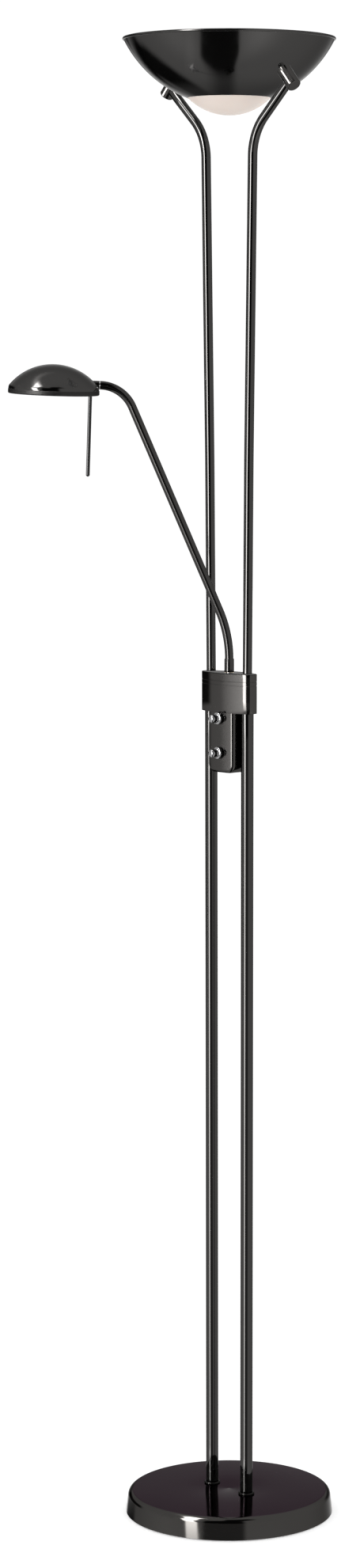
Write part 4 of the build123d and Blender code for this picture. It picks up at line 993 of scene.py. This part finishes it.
# panel below the collar
PHW, PZ0, PF, PR = 22.85, 921.8, 5.0, 10.0
Z_TOP = 995.02
rim = []
M_ROWS = 14
for i in range(M_ROWS, 0, -1):
    rim.append((-PHW + PF, PZ0 + PR + (Z_TOP - PZ0 - PR) * i / M_ROWS, -1.0, 0.0, 0, i))
cols = []
for i in range(0, 13):
    t = math.radians(7.5 * i)
    cols.append((-PHW + PR - (PR - PF) * math.cos(t), PZ0 + PR - (PR - PF) * math.sin(t), -math.cos(t), -math.sin(t)))
for i in range(1, 24):
    cols.append((-PHW + PR + (2 * PHW - 2 * PR) * i / 24, PZ0 + PF, 0.0, -1.0))
for i in range(0, 13):
    t = math.radians(90 - 7.5 * i)
    cols.append((PHW - PR + (PR - PF) * math.cos(t), PZ0 + PR - (PR - PF) * math.sin(t), math.cos(t), -math.sin(t)))
for j, c in enumerate(cols):
    rim.append((*c, j, 0))
for i in range(1, M_ROWS + 1):
    rim.append((PHW - PF, PZ0 + PR + (Z_TOP - PZ0 - PR) * i / M_ROWS, 1.0, 0.0, len(cols) - 1, i))
uv = b.loops.layers.uv.verify()


def quad(vs):
    f = b.faces.new(vs)
    for lp_ in f.loops:
        co = lp_.vert.co
        lp_[uv].uv = (co.x + co.y, co.z)
    return f


grid = []
for xc, zc_, mx, mz in cols:
    a = math.asin(xc / (FACE_R - PF))
    x, y = FACE_C.x + FACE_R * math.sin(a), FACE_C.y - FACE_R * math.cos(a)
    grid.append([b.verts.new((x * MM, y * MM, (zc_ + (Z_TOP - zc_) * i / M_ROWS) * MM)) for i in range(M_ROWS + 1)])
for j in range(len(cols) - 1):
    for i in range(M_ROWS):
        quad([grid[j][i], grid[j + 1][i], grid[j + 1][i + 1], grid[j][i + 1]])
shells = [[grid[j][i] for (_, _, _, _, j, i) in rim]]
for k in range(1, 9):
    row = []
    for xc, zc_, mx, mz, j, i in rim:
        a = math.asin(xc / (FACE_R - PF))
        nf = Vector((math.sin(a), -math.cos(a), 0))
        m3 = Vector((mx, 0, mz))
        v = nf.slerp(m3, k / 8.0)
        yc = FACE_C.y - math.sqrt((FACE_R - PF) ** 2 - xc * xc)
        row.append(b.verts.new((Vector((xc, yc, zc_)) + v * PF) * MM))
    shells.append(row)
for y, ins in ((-4.0, 0.0), (4.0, 0.0), (10.7, 0.0), (10.93, 0.09), (11.0, 0.3)):
    shells.append([b.verts.new(((xc + mx * (PF - ins)) * MM, y * MM, (zc_ + mz * (PF - ins)) * MM)) for xc, zc_, mx, mz, j, i in rim])
for r0_, r1_ in zip(shells[:-1], shells[1:]):
    for i in range(len(rim) - 1):
        quad([r0_[i], r1_[i], r1_[i + 1], r0_[i + 1]])


def u_loop(hw, z0, z1, r, y, n=12):
    pts_ = [(-hw, z1)] + [(-hw + r - r * math.cos(math.radians(90.0 * i / n)), z0 + r - r * math.sin(math.radians(90.0 * i / n))) for i in range(n + 1)]
    pts_ += [(hw - r + r * math.sin(math.radians(90.0 * i / n)), z0 + r - r * math.cos(math.radians(90.0 * i / n))) for i in range(n + 1)] + [(hw, z1)]
    return [b.verts.new((x * MM, y * MM, z * MM)) for x, z in pts_]


def fill(loops, closed):
    edges = []
    for lo, cl in zip(loops, closed):
        for j in range(len(lo) if cl else len(lo) - 1):
            pair = (lo[j], lo[(j + 1) % len(lo)])
            edges.append(b.edges.get(pair) or b.edges.new(pair))
    bmesh.ops.triangle_fill(b, use_beauty=True, use_dissolve=False, edges=edges)


def bridge(a, c):
    for j in range(len(a)):
        quad([a[j], c[j], c[(j + 1) % len(a)], a[(j + 1) % len(a)]])


rec0 = u_loop(21.3, 924.2, 993.8, 8.45, 11.0)
rec1 = u_loop(21.3, 924.2, 993.8, 8.45, 9.0)
cav0 = u_loop(19.8, 925.8, 992.4, 7.0, 9.0)
cav1 = u_loop(19.8, 925.8, 992.4, 7.0, -11.6)
fill([shells[-1], rec0], [True, True])
bridge(rec0, rec1)
fill([rec1, cav0], [True, True])
bridge(cav0, cav1)
fill([cav1], [True])
for sx in (-1, 1):
    for z in (929.6, 989.6):
        post = lathe([Vector((1.35, -8.98)), Vector((3.4, -8.98)), Vector((3.4, 11.7)), Vector((1.35, 11.7))], True, 24,
                     Matrix(((1, 0, 0, sx * 16.3 * MM), (0, 0, -1, 0), (0, 1, 0, z * MM), (0, 0, 0, 1))))
        tmp = bpy.data.meshes.new("post_tmp")
        post.to_mesh(tmp)
        post.free()
        b.from_mesh(tmp)
        bpy.data.meshes.remove(tmp)
house_ob = piece("control_housing_skin", b, M_CAST, "stand", ["control_housing"], 24.0)

# ---------------------------------------------------------------- knobs
kn = sampled([(6.4, 2.9), ("l", (6.4, 0.35)), ("l", (7.1, 0.35)), ("l", (7.35, 0.6)), ("l", (7.35, 2.7)), ("a", (7.04, 3.6), (6.3, 4.0)),
              ("a", (4.95, 4.9), (4.45, 6.4)), ("l", (5.0, 7.6)), ("l", (5.0, 9.4)), ("l", (5.0, 11.2)), ("a", (4.15, 13.1), (2.4, 14.1)), ("l", (0.0, 14.3))], 5.0)
kn_in = [Vector((0.0, 11.8)), Vector((3.02, 11.8)), Vector((3.02, 2.9))]
for name, z in (("upper_knob", 988.0), ("lower_knob", 946.0)):
    place = Matrix(((1, 0, 0, 0), (0, 0, -1, -COL_FRONT * MM), (0, 1, 0, z * MM), (0, 0, 0, 1)))
    piece(name + "_skin", lathe(eased(kn, 0.25) + kn_in, True, 96, place), M_KNOB, name, [name])

# ---------------------------------------------------------------- filament and its supports in the bowl lamp
def coil(a, c, r, pitch, wire, name, body, seg=6, per=10):
    a, c = Vector(a), Vector(c)
    d = (c - a).normalized()
    n_ = Vector((0, 0, 1)) if abs(d.z) < 0.9 else Vector((1, 0, 0))
    n_ = (n_ - d * n_.dot(d)).normalized()
    m_ = d.cross(n_)
    L = (c - a).length
    turns = int(L / pitch)
    pts_ = [a + d * (L * i / (turns * per)) + (n_ * math.cos(2 * math.pi * i / per) + m_ * math.sin(2 * math.pi * i / per)) * r for i in range(turns * per + 1)]
    return piece(name, swept(pts_, wire, 0.0, seg, 0.02), M_TUNGSTEN, body, (), 60.0)


coil((-38.0, 0, 1772.0), (38.0, 0, 1772.0), 1.0, 0.8, 0.17, "bowl_lamp_filament", "stand")
sup_b = bmesh.new()
for x in (-26.0, -9.0, 9.0, 26.0):
    ring_ = lathe([Vector((1.25, -0.18)), Vector((4.15, -0.10)), Vector((4.15, 0.10)), Vector((1.25, 0.18))], True, 24,
                  Matrix(((0, 0, 1, x * MM), (0, 1, 0, 0), (-1, 0, 0, 1772.0 * MM), (0, 0, 0, 1))))
    tmp = bpy.data.meshes.new("sup_tmp")
    ring_.to_mesh(tmp)
    ring_.free()
    sup_b.from_mesh(tmp)
    bpy.data.meshes.remove(tmp)
piece("bowl_lamp_supports", sup_b, M_TUNGSTEN, "stand", ())

# ---------------------------------------------------------------- which pieces each light board reaches
light_only(board("board_knuckle_left", [(-42.0, -1.0), (-32.0, -8.0), (-23.0, -16.0)], 7.0, 38.0, (0, 0, 1.74)), KNUCKLES[:1])
light_only(board("board_knuckle_right", [(-36.0, 12.0), (-28.0, 19.0), (-20.0, 28.0)], 9.0, 30.0, (0, 0, 1.74)), KNUCKLES[1:])
light_only(board("board_rod_left", [(0.0, 12.0), (-8.0, 22.0), (-18.0, 27.0), (-34.0, 28.0)], 7.0, 20.0, (0, 0, 1.70)), RODS[:1])
light_only(board("board_rod_right", [(0.0, -11.0), (-8.0, -17.0), (-20.0, -22.0), (-32.0, -22.0)], 7.0, 20.0, (0, 0, 1.70)), RODS[1:])
light_only(board("board_collar", [(-22.0, -24.0), (-22.0, 18.0)], 22.0, 3.4, (0, 0, 1.0), one_sided=True), [house_ob, cap_ob])
for k_, tube_ in enumerate(TUBES):
    x_ = (-31.4, 31.4)[k_] * MM
    card_ = board("board_foot_%d" % k_, [(3.0, 0.0), (3.0, 1.0)], 6.0, 7.0, (0, 0, 0), upright=[((x_ + 0.0036, -0.0149, z_), (0.0013, 0.00007, 0.0)) for z_ in (0.018, 0.035, 0.052, 0.074)])
    light_only(card_, [tube_])
light_only(board("board_base", [(3.0, 18.0), (-1.0, 40.0), (-12.0, 54.0), (-24.0, 63.0)], 8.0, 27.0, (0, 0, 0.02)), [base_ob])
light_only(board("board_handle", [(-34.0, -14.0), (-34.0, 14.0)], 22.0, 7.0, (0, 0, 1.33)), [handle_ob])
# pieces that would only put black specks into their polished neighbours
for ob in [bowl_ob, arm_tube_ob, shade_ob, dome_ob, lead_ob, ferrule_ob, socket_ob, handle_ob, base_ob] + KNUCKLES + RODS:
    ob.visible_glossy = False
